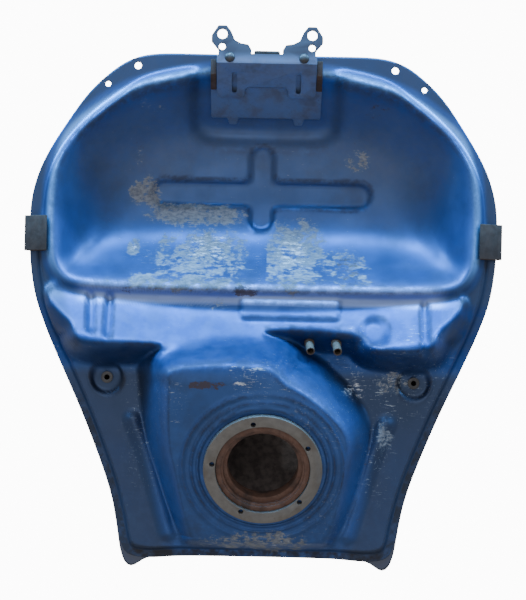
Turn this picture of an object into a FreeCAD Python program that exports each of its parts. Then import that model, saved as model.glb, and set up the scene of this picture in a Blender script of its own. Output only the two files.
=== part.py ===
import FreeCAD, Part
import math
import os

# Motorcycle fuel tank, in millimetres, as it sits on the motorcycle.
# +X points forward, +Y to the rider's left and +Z up. The origin is under the middle of the
# tank's bounding box, on the surface that its lowest point touches.
# The tank is two pressed steel shells joined at a flange: the outer skin above and the base pan below.
# Heights of the pan and the skin are given from the seam plane, where the two flanges meet.

V = FreeCAD.Vector

# ---- driving dimensions ----
SEAM_Z = 78.4  # height of the seam plane above the lowest point
SHEET = 1.2  # thickness of both pressed shells
SHEET_GAP = 0.4  # room left between parts that are welded face to face
FLANGE = 6.5  # width of the skin's flange along the sides
CORNER_FLANGE = 12.0  # extra width at the front corners, which carry the flange holes
REAR_RISE = 8.0  # how much higher the seam is at the rear than at the front

# Half of the tank's outline, front centre to rear centre, as (X, Y)
HALF_OUTLINE = [
    (236, 0), (236.5, 60), (236, 104), (231, 128), (219, 148), (197, 171), (168, 191.5), (140, 208.5),
    (116, 219), (90, 224.8), (58, 225.6), (29, 224), (0, 219), (-29, 209), (-58, 196.5), (-116, 170.5),
    (-174, 148), (-212, 137.5), (-238, 132), (-249, 124), (-252, 104), (-250, 70), (-249.5, 0),
]
HORN_TIP_X = -264.0  # the skin's rear corners reach back this far
HORN_Y = 121.0
HORN_SPREAD = 13.0

# Airbox recess: a bowl pressed up into the pan
BOWL_DEPTH = 52.0
BOWL_WALL = 68.0  # distance over which the wall curves into the floor
BOWL_FILLET = 9.0
BEAD = 12.0  # the rim stands this far below the flange
BEAD_WIDTH = 12.0
HALF_RIM = [
    (219, 0), (219, 42), (212, 85), (203, 121), (189, 149), (162, 184), (132, 198), (95, 203),
    (58, 203), (30, 199), (15, 184), (11, 150), (10, 80), (10, 0),
]
BRACKET_HALF_WIDTH = 60.0  # the front wall is flat here, for the front bracket
BRACKET_SEAT_X = 219.0  # where that flat wall starts to rise
BRACKET_SEAT_SLOPE = 1.15
POCKET_DEPTH = 12.0  # extra depth behind the front bracket
POCKET_HALF_WIDTH = 82.0
POCKET_REAR_X = 144.0
POCKET_CORNER = 34.0
POCKET_WALL = 30.0  # distance over which the pocket's side slopes down

# Cross-shaped groove in the recess floor
CROSS_X, CROSS_Y = 105.0, -2.5
CROSS_HALF_LENGTH = 97.0  # to the centres of its round ends
CROSS_HALF_WIDTH = 12.5
CROSS_FRONT_X = 140.0
CROSS_REAR_X = 80.5
CROSS_DEPTH = 5.0

# Ledge behind the recess, which drops forward to rear as a ramp
LEDGE_TOP_X = -8.0
LEDGE_BOW = 14.0
LEDGE_DROP = 38.0
LEDGE_TERRACE = 12.0
LEDGE_END_Y = 172.0
LEDGE = [
    (16, -178), (16, 166), (-30, 162), (-42, 152), (-42, 112), (-28, 86), (-27, 4), (-50, 10),
    (-66, 14), (-66, -86), (-48, -90), (-41, -100), (-41, -162), (-28, -174),
]
LEDGE_WALL = 2.4  # slope of the ledge's walls

# Sump: the raised block that carries the fuel pump ring
SUMP_FRONT_X = -72.0
SUMP_DROP = 78.0
SUMP_TILT = 21.0  # degrees from the seam plane, facing down and rearward
SUMP = [
    (-68, -74), (-66, 0), (-79, 23), (-90, 42), (-109, 66), (-130, 80), (-164, 79), (-198, 74),
    (-226, 64), (-230, 50), (-230, -50), (-226, -62), (-198, -70), (-164, -77), (-132, -83), (-82, -83),
]
SUMP_WALL = 2.5
BLEND = 8.0  # softness of the bends between the blocks
WING_DROP = 6.0

# Pressed beads and bosses on the wings beside the sump
WING_BEAD = [(-118, 122), (-150, 109), (-190, 97), (-226, 86)]
WING_BEAD_HEIGHT = 5.0
WING_BEAD_HALF_WIDTH = 8.0
BOSS_X, BOSS_Y = -77.5, 148.0
BOSS_RADIUS = 19.0
BOSS_DEPTH = 4.5
BOSS_HOLE = 3.3
NUT_GAP = 1.1  # room between the boss's floor and the threaded insert

# Fuel pump opening
PUMP_X, PUMP_Y = -158.0, 4.0
PAN_HOLE = 46.0
RING_OUTER, RING_INNER, RING_THICK = 56.0, 44.5, 5.0
RING_PCD, RING_BOLTS, RING_TAP = 96.0, 5, 2.5
RING_FIRST_ANGLE = 47.5
NECK_OUTER, NECK_STEP, NECK_BORE = 44.2, 37.5, 33.5

# Holes in the front flange
FLANGE_HOLES = [(224.0, 124.3, 3.5), (205.8, 152.8, 2.8)]

# Drain and breather tubes
TUBE_X, TUBE_Y = -39.5, [46.0, 71.5]
TUBE_OUTER, TUBE_INNER = 4.0, 2.9
FERRULE_RADIUS, FERRULE_IN, FERRULE_OUT = 4.8, 6.0, 4.0  # the brazed sleeve where a tube passes the pan
TUBE_STUB = 18.0  # how far a tube sticks out of the pan
DRAIN_X, DRAIN_Y = -42.0, [9.0, 23.0]  # where the tubes meet the filler neck, from its axis

# Outer skin
FILLER_X = 75.0
CROWN = 155.0
CROWN_FALL = 0.00088
SEAT_DROP = 5.0
SEAT_RADIUS, SEAT_BLEND = 74.0, 94.0
SKIN_HOLE = 60.0
KNEE_X, KNEE_HALF_LENGTH, KNEE_DEPTH = -125.0, 120.0, 0.15

# Front mounting bracket
BRACKET_Y = 0.0
BASE_GAP = 1.0  # weld room between the pan and the bracket's base
BASE_THICK, EAR_THICK = 2.0, 3.0
BASE_HALF_WIDTH = 54.0
BASE_FRONT_X, BASE_REAR_X = 236.0, 180.0
EAR_DROP, EAR_BEND_X, LEG_SLOPE = 17.5, 226.0, 1.1
LEG_IN, LEG_OUT = 21.0, 48.0
LEG_REAR_X, WEB_REAR_X, WEB_FRONT_X = 197.0, 206.0, 235.0
EAR_Y = 43.0
EAR_LARGE_X, EAR_SMALL_X = 253.5, 241.5
EAR_LARGE, EAR_SMALL = 4.8, 3.3
EAR_OUTLINE = [
    (261.8, 39), (261.8, 47), (252, 53.3), (246, 53.3), (238, 46.5), (222, 46.5),
    (222, 15), (239, 15), (244, 18), (245, 25), (248, 31), (256, 34.5),
]
RIVET_X, RIVET_Y, RIVET_RADIUS, SPACER_RADIUS = 231.4, 35.5, 2.5, 4.0
PAD_FRONT_X, PAD_REAR_X, PAD_THICK = 231.0, 203.0, 3.5

# Rubber parts
CUSHION_X = 60.0
CUSHION_LENGTH = 34.0
BUFFER_HALF_LENGTH = 12.5

# Baffle beside the pump
BAFFLE_X, BAFFLE_Y, BAFFLE_HALF_WIDTH, BAFFLE_TOP = -98.0, -12.0, 46.0, -4.0

# Filler cap, heights from the seat on the skin
LID_RADIUS, LID_BOTTOM, LID_TOP = 46.5, 5.0, 12.0
CAP_OUTER, CAP_POCKET, CAP_FLOOR_INNER = 64.0, 47.3, 34.5
CAP_RIM_TOP, CAP_FLOOR_TOP = 11.0, 4.4
CAP_SCREW_RADIUS = 55.0
CAP_SCREW_ANGLES = [40, 90, 140, 220, 270, 320]
CAP_SCREW_HEAD, CAP_SCREW_SHANK = 4.2, 2.5
HINGE_X, HINGE_Z, PIN_RADIUS = 55.0, 7.6, 1.5
HINGE_ARM = 9.0
NECK_SEAT_DROP = SHEET + SHEET_GAP
NECK_MOUTH, NECK_PLATE, NECK_TUBE, NECK_LENGTH = 26.0, 5.0, 34.0, 34.0
NECK_RIM = 66.0
PLUG_RADIUS, PLUG_BOTTOM = 22.0, -13.0
LATCH_WIDTH, LATCH_BOTTOM, LATCH_TOP = 5.0, -11.0, -7.4
LOCK_BORE, LOCK_ROTOR = 6.05, 6.0
COVER_PIVOT_X, COVER_THICK = 15.0, 1.6


# ---- small mathematics ----
def clamp(t, low=0.0, high=1.0):
    return max(low, min(high, t))


def smooth(t):
    t = clamp(t)
    return t * t * (3 - 2 * t)


def bump(t):
    """1 at t = 0, falling smoothly to 0 at t = -1 and 1."""
    return smooth(1 - abs(t))


def soft_start(s, radius):
    """s with its corner at 0 rounded off."""
    return math.sqrt(s * s + radius * radius) - radius if s > 0 else 0.0


def soft_min(a, b, k):
    h = max(k - abs(a - b), 0.0) / k
    return min(a, b) - h * h * k * 0.25


def mirrored(half):
    """A closed symmetric loop from its half, which runs from front centre to rear centre."""
    return half + [(x, -y) for x, y in reversed(half[1:-1])]


def catmull(p0, p1, p2, p3, t):
    return tuple(
        0.5 * (2 * b + (c - a) * t + (2 * a - 5 * b + 4 * c - d) * t * t + (3 * b - a - 3 * c + d) * t ** 3)
        for a, b, c, d in zip(p0, p1, p2, p3)
    )


def smooth_loop(points, per_span=8):
    n = len(points)
    return [
        catmull(points[i - 1], points[i], points[(i + 1) % n], points[(i + 2) % n], k / per_span)
        for i in range(n)
        for k in range(per_span)
    ]


def evenly(loop, count):
    """count points at equal distances round a closed loop."""
    steps = [math.dist(loop[i], loop[(i + 1) % len(loop)]) for i in range(len(loop))]
    total, out, i, passed = sum(steps), [], 0, 0.0
    for k in range(count):
        goal = total * k / count
        while passed + steps[i] < goal:
            passed += steps[i]
            i += 1
        t = (goal - passed) / steps[i]
        a, b = loop[i], loop[(i + 1) % len(loop)]
        out.append((a[0] + (b[0] - a[0]) * t, a[1] + (b[1] - a[1]) * t))
    return out


def inside_distance(loop, x, y):
    """Distance to a closed loop, positive inside it."""
    best, inside = 1e18, False
    for i in range(len(loop)):
        ax, ay = loop[i - 1]
        bx, by = loop[i]
        ex, ey = bx - ax, by - ay
        t = clamp(((x - ax) * ex + (y - ay) * ey) / (ex * ex + ey * ey))
        dx, dy = x - ax - t * ex, y - ay - t * ey
        best = min(best, dx * dx + dy * dy)
        if (ay > y) != (by > y) and x < ax + (y - ay) * ex / ey:
            inside = not inside
    return math.sqrt(best) if inside else -math.sqrt(best)


def path_distance(points, x, y):
    """Distance to an open path."""
    best = 1e18
    for (ax, ay), (bx, by) in zip(points, points[1:]):
        ex, ey = bx - ax, by - ay
        t = clamp(((x - ax) * ex + (y - ay) * ey) / (ex * ex + ey * ey))
        best = min(best, math.hypot(x - ax - t * ex, y - ay - t * ey))
    return best


def soft_distance(samples, x, y):
    """Distance inside a closed loop without creases, from points evenly spaced along the loop."""
    step = math.dist(samples[0], samples[1])
    total = sum(1 / ((x - a) ** 2 + (y - b) ** 2 + 0.01) ** 2 for a, b in samples)
    return (total * step * 2 / math.pi) ** (-1 / 3)


OUTLINE = smooth_loop(mirrored(HALF_OUTLINE))
RIM = smooth_loop(mirrored(HALF_RIM), 4)
RIM_SAMPLES = evenly(RIM, 400)
LEDGE_LOOP = smooth_loop(LEDGE, 4)
SUMP_LOOP = smooth_loop(SUMP, 4)
SUMP_SLOPE = math.tan(math.radians(SUMP_TILT))


# ---- heights of the pressed shells, from the seam plane ----
def seam_height(x):
    return REAR_RISE * smooth((20 - x) / 270)


def sump_height(x):
    return -SUMP_DROP + (SUMP_FRONT_X - x) * SUMP_SLOPE


def ledge_height(x, y):
    drop = LEDGE_TOP_X + LEDGE_BOW * (y / LEDGE_END_Y) ** 2 - x
    ramp = soft_start(drop, 6.0) - soft_start(drop - LEDGE_DROP, 6.0)
    return -LEDGE_TERRACE - ramp


def block(loop, x, y, top, wall):
    """A raised block with sloping walls: its top inside the loop, rising away outside it."""
    return top + wall * soft_start(-inside_distance(loop, x, y), 5.0)


def cross_groove(x, y):
    ends = [(CROSS_X, CROSS_Y + side * CROSS_HALF_LENGTH) for side in (-1, 1)]
    across = path_distance(ends, x, y)
    along = path_distance([(CROSS_REAR_X, CROSS_Y), (CROSS_FRONT_X, CROSS_Y)], x, y)
    return CROSS_DEPTH * smooth((CROSS_HALF_WIDTH + 1.5 - soft_min(across, along, 8.0)) / 5)


def pocket(x, y):
    """The deeper oblong behind the front bracket."""
    across = abs(y) - (POCKET_HALF_WIDTH - POCKET_CORNER)
    along = POCKET_REAR_X + POCKET_CORNER - x
    beyond = math.hypot(max(across, 0), max(along, 0)) + min(max(across, along), 0)
    return POCKET_DEPTH * smooth((POCKET_CORNER - beyond) / POCKET_WALL)


def flange_width(x, y):
    return FLANGE + CORNER_FLANGE * smooth((x - 120) / 60) * bump((abs(y) - 135) / 65)


def at_bracket(x, y):
    """1 where the bracket is welded on, 0 away from it."""
    return smooth((BRACKET_HALF_WIDTH + 18 - abs(y - BRACKET_Y)) / 18) * smooth((x - 150) / 25)


def bowl(x, y, inside, rim):
    """The airbox recess, for a point this far inside its rim, which has the height rim there."""
    inside += (soft_distance(RIM_SAMPLES, x, y) - inside) * smooth((inside - 6) / 24)
    share = 1 - (1 - clamp(soft_start(inside, BOWL_FILLET) / BOWL_WALL)) ** 2.2
    floor = BOWL_DEPTH + pocket(x, y)
    height = rim + (floor - rim) * share + cross_groove(x, y) * share
    seat = soft_min(max(BRACKET_SEAT_X - x, 0.0) * BRACKET_SEAT_SLOPE, floor, 20.0)
    return height + (seat - height) * at_bracket(x, y)


def wing_bead(x, y):
    return WING_BEAD_HEIGHT * bump(path_distance(WING_BEAD, x, abs(y)) / (WING_BEAD_HALF_WIDTH * 1.5))


def boss(x, y):
    return BOSS_DEPTH * smooth((BOSS_RADIUS - math.hypot(x - BOSS_X, abs(y) - BOSS_Y)) / 7)


def pan_height(x, y):
    """Height of the pan's underside."""
    inside_rim = inside_distance(RIM, x, y)
    edge = inside_distance(OUTLINE, x, y)
    shelf = seam_height(x) - WING_DROP * smooth((edge - FLANGE) / 5) * smooth((90 - x) / 60)
    reach = (inside_rim + BEAD_WIDTH) / BEAD_WIDTH
    rim_bead = BEAD * (1 - at_bracket(x, y)) * smooth(reach) * smooth((edge - flange_width(x, y) - 1) / 8)
    within = smooth((edge - FLANGE - 2) / 6)
    shelf += boss(x, y) * within - max(wing_bead(x, y) * within, rim_bead)
    ledge = block(LEDGE_LOOP, x, y, ledge_height(x, y), LEDGE_WALL)
    sump = block(SUMP_LOOP, x, y, sump_height(x), SUMP_WALL)
    height = soft_min(shelf, soft_min(ledge, sump, BLEND), BLEND)
    height = shelf + (height - shelf) * smooth((edge - FLANGE + 2) / 6)
    return bowl(x, y, inside_rim, height) if inside_rim > 0 else height


def skin_height(x, y, share):
    """Height of the skin above the seam: share is 0 at the filler and 1 at the foot of the wall."""
    crown = CROWN - CROWN_FALL * (x - FILLER_X) ** 2
    fullness = 3.4 + 1.4 * smooth(-x / 200)
    dome = crown * max(1 - share ** fullness, 0.0) ** 0.52
    seat = smooth((SEAT_BLEND - math.hypot(x - FILLER_X, y)) / (SEAT_BLEND - SEAT_RADIUS))
    return dome + (CROWN - SEAT_DROP - dome) * seat


# ---- shells from point grids ----
def loft_face(grid, closed_degree=3, open_degree=3):
    """A face through a grid of poles: the first index runs round a closed loop, the second across it."""
    around, across = len(grid), len(grid[0])
    spans = across - open_degree
    surface = Part.BSplineSurface()
    surface.buildFromPolesMultsKnots(
        [[V(*p) for p in row] for row in grid],
        [1] * (around + 1), [open_degree + 1] + [1] * (spans - 1) + [open_degree + 1],
        list(range(around + 1)), list(range(spans + 1)),
        True, False, closed_degree, open_degree,
    )
    return surface.toShape()


def offset_grid(grid, thickness):
    """The grid moved along its normals."""
    around, across = len(grid), len(grid[0])
    moved = []
    for i in range(around):
        row = []
        for j in range(across):
            u = V(*grid[(i + 1) % around][j]) - V(*grid[i - 1][j])
            v = V(*grid[i][min(j + 1, across - 1)]) - V(*grid[i][max(j - 1, 0)])
            n = u.cross(v).normalize()
            row.append(tuple(V(*grid[i][j]) + n * thickness))
        moved.append(row)
    return moved


def shell_solid(grid, thickness):
    """A sheet of the given thickness on one side of the grid, open at both of its loops."""
    other = offset_grid(grid, thickness)
    faces = [loft_face(grid), loft_face(other)]
    for j in (0, -1):
        faces.append(loft_face([[grid[i][j], other[i][j]] for i in range(len(grid))], 3, 1))
    shell = Part.makeShell(faces)
    shell.sewShape()
    solid = Part.makeSolid(Part.Shell(shell.Faces))
    return solid if solid.Volume > 0 else solid.reversed()


def tilted(shape):
    """Carries a shape drawn about the origin, with +Z as its outward way, to the pump opening."""
    place = FreeCAD.Placement(
        V(PUMP_X, PUMP_Y, SEAM_Z + sump_height(PUMP_X)),
        FreeCAD.Rotation(V(0, 1, 0), 180 + SUMP_TILT),
    )
    shape.Placement = place.multiply(shape.Placement)
    return shape


def tube(outer, inner, z0, z1, x=0.0, y=0.0):
    height = z1 - z0
    return Part.makeCylinder(outer, height, V(x, y, z0)).cut(Part.makeCylinder(inner, height, V(x, y, z0)))


def revolved(profile, x=0.0, y=0.0):
    """A ring from (radius, height) points turned about a vertical axis."""
    points = [V(x + r, y, z) for r, z in profile]
    face = Part.Face(Part.makePolygon(points + points[:1]))
    return face.revolve(V(x, y, 0), V(0, 0, 1), 360)


def plate(points, z, thickness):
    return Part.Face(Part.makePolygon([V(x, y, z) for x, y in points + points[:1]])).extrude(V(0, 0, thickness))


def rounded(shape, radius, chosen):
    edges = [e for e in shape.Edges if chosen(e)]
    return shape.makeFillet(radius, edges) if edges else shape


def upright(edge):
    return len(edge.Vertexes) == 2 and abs(edge.tangentAt(edge.FirstParameter).z) > 0.99


def box(x0, x1, y0, y1, z0, z1):
    return Part.makeBox(x1 - x0, y1 - y0, z1 - z0, V(x0, y0, z0))


def hexagon(flats, x, y, z0, height):
    r = flats / math.sqrt(3)
    angles = [math.radians(60 * k) for k in range(6)]
    points = [(x + r * math.cos(angle), y + r * math.sin(angle)) for angle in angles]
    return plate(points, z0, height)


# ---- the two shells ----
def base_pan():
    around, across = 132, 34
    cosine = math.cos(math.radians(SUMP_TILT))
    grid = []
    for x, y in evenly(OUTLINE, around):
        angle = math.atan2(y - PUMP_Y, x - PUMP_X)
        hx = PUMP_X + PAN_HOLE * math.cos(angle) * cosine
        hy = PUMP_Y + PAN_HOLE * math.sin(angle)
        row = []
        for j in range(across):
            t = j / (across - 1)
            px, py = x + (hx - x) * t, y + (hy - y) * t
            row.append((px, py, SEAM_Z + pan_height(px, py)))
        grid.append(row)
    return drill(shell_solid(grid, SHEET), pan_holes() + flange_holes())


def skin_edge(x, y):
    """The skin's edge: the pan's outline with a horn at each rear corner."""
    if x > -200:
        return x, y
    share = bump((abs(y) - HORN_Y) / (HORN_SPREAD * 1.6))
    return x + (HORN_TIP_X - x) * share, y


def tank_skin():
    around, across = 132, 30
    grid = []
    for x, y in evenly(OUTLINE, around):
        ex, ey = skin_edge(x, y)
        reach = math.hypot(x - FILLER_X, y)
        width = flange_width(x, y) / reach
        fx, fy = x - (x - FILLER_X) * width, y - y * width
        angle, foot = math.atan2(fy, fx - FILLER_X), math.hypot(fx - FILLER_X, fy)
        row = [(ex + (fx - ex) * t, ey + (fy - ey) * t, 0.0) for t in (0.0, 0.4, 0.8)]
        for j in range(across - 3):
            t = j / (across - 4)
            share = 1 - (1 - SKIN_HOLE / foot) * (1 - math.cos(math.pi / 2 * t)) ** 0.9
            px = FILLER_X + math.cos(angle) * foot * share
            py = math.sin(angle) * foot * share
            height = skin_height(px, py, share)
            knee = bump((px - KNEE_X) / KNEE_HALF_LENGTH)
            py *= 1 - KNEE_DEPTH * knee * math.sin(math.pi * clamp(height / CROWN) ** 0.75)
            row.append((px, py, height * (1 - seam_height(px) / CROWN)))
        lift = SEAM_Z + SHEET + SHEET_GAP
        grid.append([(px, py, lift + seam_height(px) + height) for px, py, height in row])
    return drill(shell_solid(grid, SHEET), flange_holes())


def flange_holes():
    places = [(x, side * y, r) for x, y, r in FLANGE_HOLES for side in (1, -1)]
    return [Part.makeCylinder(r, 20, V(x, y, SEAM_Z - 10)) for x, y, r in places]


def tube_start(y):
    """Where a tube leaves the pan, and its outward direction."""
    return V(TUBE_X, y, SEAM_Z + pan_height(TUBE_X, y)), V(-0.45, 0.06, -0.89).normalize()


def pan_holes():
    holes = [Part.makeCylinder(BOSS_HOLE, 30, V(BOSS_X, side * BOSS_Y, SEAM_Z - 20)) for side in (1, -1)]
    for y in TUBE_Y:
        at, way = tube_start(y)
        holes.append(Part.makeCylinder(FERRULE_RADIUS + 0.3, 28, at - way * 16, way))
    return holes


def drill(shape, tools):
    """The largest solid left of the shape once the tools are cut out of it."""
    for tool in tools:
        shape = shape.cut(tool)
    return max(shape.Solids, key=lambda solid: solid.Volume)


# ---- pump opening ----
def pump_flange():
    ring = tube(RING_OUTER, RING_INNER, 0.3, RING_THICK)
    ring = rounded(ring, 0.8, lambda e: e.BoundBox.ZMin > RING_THICK - 0.01)
    return tilted(drill(ring, [cylinder_at(RING_TAP, -1, 8, *spot) for spot in ring_spots()]))


def ring_spots():
    angles = [math.radians(RING_FIRST_ANGLE + 360 * k / RING_BOLTS) for k in range(RING_BOLTS)]
    return [(RING_PCD / 2 * math.cos(a), RING_PCD / 2 * math.sin(a)) for a in angles]


def cylinder_at(radius, z0, z1, x=0.0, y=0.0):
    return Part.makeCylinder(radius, z1 - z0, V(x, y, z0))


def pump_neck():
    """The stepped collar through the pan, inside the flange ring."""
    steps = [
        (NECK_BORE, -18), (NECK_OUTER, -18), (NECK_OUTER, 2.5), (NECK_STEP + 2, 2.5),
        (NECK_STEP + 2, 0.8), (NECK_STEP, 0.8), (NECK_STEP, -5), (NECK_BORE, -5),
    ]
    return tilted(revolved(steps))


def baffle_plate():
    """A slotted plate that keeps fuel round the pump, on a foot that lies along the sump floor."""
    floor = SEAM_Z + sump_height(BAFFLE_X) + (2 * SHEET + 0.3) / math.cos(math.radians(SUMP_TILT))
    path = [(BAFFLE_X, SEAM_Z + BAFFLE_TOP), (BAFFLE_X, floor), (BAFFLE_X - 9, floor + 9 * SUMP_SLOPE)]
    sheet = bent_sheet(path, SHEET, BAFFLE_Y - BAFFLE_HALF_WIDTH, BAFFLE_Y + BAFFLE_HALF_WIDTH)
    columns = [BAFFLE_Y + step * BAFFLE_HALF_WIDTH / 2 for step in (-1.4, -0.5, 0.5, 1.4)]
    slots = [slot_x(V(BAFFLE_X - 5, y, SEAM_Z + z), 4, 12) for y in columns for z in (-44, -22)]
    return drill(sheet, slots)


def slot_x(at, radius, length):
    """An upright slot through the X direction."""
    ends = [Part.makeCylinder(radius, 10, at + V(0, 0, z), V(1, 0, 0)) for z in (0, length)]
    return ends[0].fuse(ends[1]).fuse(box(at.x, at.x + 10, at.y - radius, at.y + radius, at.z, at.z + length))


# ---- sheet metal ----
def bent_sheet(path, thickness, y0, y1):
    """A sheet bent along a path of (X, Z) points, thickened to the left of its direction of travel."""
    steps = [V(b[0] - a[0], 0, b[1] - a[1]) for a, b in zip(path, path[1:])]
    normals = [V(-step.z, 0, step.x).normalize() for step in steps]
    moved = []
    for i, (x, z) in enumerate(path):
        lean = normals[max(i - 1, 0)] + normals[min(i, len(normals) - 1)]
        lean = lean * (2 * thickness / lean.dot(lean))
        moved.append((x + lean.x, z + lean.z))
    loop = [V(x, y0, z) for x, z in path + moved[::-1]]
    return Part.Face(Part.makePolygon(loop + loop[:1])).extrude(V(0, y1 - y0, 0))


def upright_prism(points, radius):
    """A tall prism over a loop of (X, Y) points, with rounded upright edges."""
    return rounded(plate(points, SEAM_Z - 40, 120), radius, upright)


def seat_path(front_x, rear_x, gap):
    """The bracket's bent line under the front wall, this far below it."""
    lean = gap * (math.hypot(1, BRACKET_SEAT_SLOPE) - 1) / BRACKET_SEAT_SLOPE
    bend = BRACKET_SEAT_X - lean
    rise = (bend - rear_x) * BRACKET_SEAT_SLOPE
    return [(rear_x, SEAM_Z - gap + rise), (bend, SEAM_Z - gap), (front_x, SEAM_Z - gap)]


def bracket_base():
    half = BASE_HALF_WIDTH
    path = seat_path(BASE_FRONT_X, BASE_REAR_X - 6, BASE_GAP + BASE_THICK)
    sheet = bent_sheet(path, BASE_THICK, BRACKET_Y - half, BRACKET_Y + half)
    plan = [
        (BASE_FRONT_X - 6, BUFFER_HALF_LENGTH + 2), (BASE_FRONT_X, BUFFER_HALF_LENGTH + 2),
        (BASE_FRONT_X, half - 8), (BASE_FRONT_X - 5, half - 8), (BASE_FRONT_X - 5, half), (BASE_REAR_X, half),
        (BASE_REAR_X, 38), (BASE_REAR_X - 6, 36), (BASE_REAR_X - 6, 29), (BASE_REAR_X, 27),
    ]
    loop = [(x, BRACKET_Y + y) for x, y in plan] + [(x, BRACKET_Y - y) for x, y in plan[::-1]]
    rivets = [cylinder_at(RIVET_RADIUS, 0, 200, RIVET_X, BRACKET_Y + side * RIVET_Y) for side in (1, -1)]
    return drill(sheet.common(upright_prism(loop, 2.0)), rivets)


def front_bracket():
    """A stamped plate with two legs down the wall and two ears that reach forward past the flange."""
    level = SEAM_Z - EAR_DROP
    foot = (LEG_REAR_X, level + (EAR_BEND_X - LEG_REAR_X) * LEG_SLOPE)
    sheet = bent_sheet([foot, (EAR_BEND_X, level), (265, level)], EAR_THICK, BRACKET_Y - 60, BRACKET_Y + 60)
    body = [
        (WEB_FRONT_X, LEG_OUT), (LEG_REAR_X, LEG_OUT), (LEG_REAR_X, LEG_IN), (WEB_REAR_X, LEG_IN),
        (WEB_REAR_X, -LEG_IN), (LEG_REAR_X, -LEG_IN), (LEG_REAR_X, -LEG_OUT), (WEB_FRONT_X, -LEG_OUT),
    ]
    plan = upright_prism([(x, BRACKET_Y + y) for x, y in body], 4.0)
    cuts = []
    for side in (1, -1):
        plan = plan.fuse(upright_prism([(x, BRACKET_Y + side * y) for x, y in EAR_OUTLINE], 2.0))
        ear_y, leg_y = BRACKET_Y + side * EAR_Y, BRACKET_Y + side * 31
        cuts.append(cylinder_at(EAR_LARGE, 0, 200, EAR_LARGE_X, ear_y))
        cuts.append(cylinder_at(EAR_SMALL, 0, 200, EAR_SMALL_X, ear_y))
        cuts.append(cylinder_at(RIVET_RADIUS, 0, 200, RIVET_X, BRACKET_Y + side * RIVET_Y))
        cuts.append(rounded(box(201, 218, leg_y - 2.4, leg_y + 2.4, 0, 200), 2.0, upright))
    return drill(sheet.common(plan), cuts)


def bracket_rivets():
    """Two domed rivets with a shoulder that holds the bracket off its base."""
    low, top = SEAM_Z - EAR_DROP, SEAM_Z - BASE_GAP
    rivets = []
    for side in (1, -1):
        y = BRACKET_Y + side * RIVET_Y
        head = Part.makeSphere(6.0, V(RIVET_X, y, low + 3.4)).common(cylinder_at(8, low - 6, low, RIVET_X, y))
        shank = cylinder_at(RIVET_RADIUS, low, top, RIVET_X, y)
        spacer = cylinder_at(SPACER_RADIUS, low + EAR_THICK, top - BASE_THICK, RIVET_X, y)
        rivets.append(head.fuse(shank).fuse(spacer).Solids[0])
    return Part.makeCompound(rivets)


def bracket_side_pads():
    """Rubber strips along both sides of the bracket, on its base."""
    path = seat_path(PAD_FRONT_X, PAD_REAR_X, BASE_GAP + BASE_THICK + 0.05 + PAD_THICK)
    strips = []
    for y0, y1 in ((LEG_OUT + 0.4, BASE_HALF_WIDTH), (-BASE_HALF_WIDTH, -LEG_OUT - 0.4)):
        strips.append(bent_sheet(path, PAD_THICK, BRACKET_Y + y0, BRACKET_Y + y1))
    return Part.makeCompound(strips)


# ---- rubber parts on the seam ----
def side_cushion(name):
    """A rubber block clipped over the two flanges, with a lip that follows the pan's rim inward."""
    side = 1 if name == "left" else -1
    x0, x1 = (CUSHION_X + half for half in (-CUSHION_LENGTH / 2, CUSHION_LENGTH / 2))
    slot, out = SEAM_Z - 0.25, 230.2
    under = [(y, SEAM_Z + min(pan_height(x, y) for x in (x0, x1)) - 2.5) for y in (220, 217, 213, 210, 207)]
    profile = [
        (out - 2, SEAM_Z + 7), (220.4, SEAM_Z + 6), (220.4, slot + 3.4), (226.0, slot + 3.4), (226.0, slot),
    ]
    profile += [(225, slot)] + under + [(207, under[-1][1] - 4), (217.5, SEAM_Z - 12), (out, SEAM_Z - 5)]
    loop = [V(x0, side * y, z) for y, z in profile]
    return Part.Face(Part.makePolygon(loop + loop[:1])).extrude(V(CUSHION_LENGTH, 0, 0))


def front_edge_buffer():
    """A rubber clip over the middle of the front flange."""
    y0, y1 = BRACKET_Y - BUFFER_HALF_LENGTH, BRACKET_Y + BUFFER_HALF_LENGTH
    slot = SEAM_Z - 0.2
    body = box(232.5, 240.5, y0, y1, SEAM_Z - 3, SEAM_Z + 5.5)
    body = rounded(body, 2.0, lambda e: e.BoundBox.XMin > 240.4)
    return body.cut(box(230, 237.2, y0 - 1, y1 + 1, slot, slot + 3.4))


def rivet_nut(side):
    """A threaded insert in the wing's boss."""
    z = SEAM_Z + pan_height(BOSS_X, BOSS_Y) - NUT_GAP
    steps = [
        (2.5, -1.6), (5.6, -1.6), (5.6, -0.6), (3.2, -0.6), (3.2, 3.0), (4.6, 4.0), (4.6, 7), (3.2, 8), (2.5, 8),
    ]
    return revolved([(r, z + h) for r, h in steps], BOSS_X, side * BOSS_Y)


# ---- tubes inside the tank ----
def bent_tube(points, outer, inner, bend):
    """A tube of straight runs joined by tangent arcs."""
    edges, last = [], points[0]
    for before, corner, after in zip(points, points[1:], points[2:]):
        a, b = (before - corner).normalize(), (after - corner).normalize()
        half = a.getAngle(b) / 2
        back = bend / math.tan(half)
        start, end = corner + a * back, corner + b * back
        middle = corner + (a + b).normalize() * (bend / math.sin(half) - bend)
        edges += [Part.LineSegment(last, start).toShape(), Part.Arc(start, middle, end).toShape()]
        last = end
    edges.append(Part.LineSegment(last, points[-1]).toShape())
    spine, way = Part.Wire(edges), points[1] - points[0]
    ends = [Part.Wire(Part.makeCircle(r, points[0], way)) for r in (outer, inner)]
    solids = [spine.makePipeShell([end], True, False) for end in ends]
    return solids[0].cut(solids[1]).Solids[0]


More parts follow.
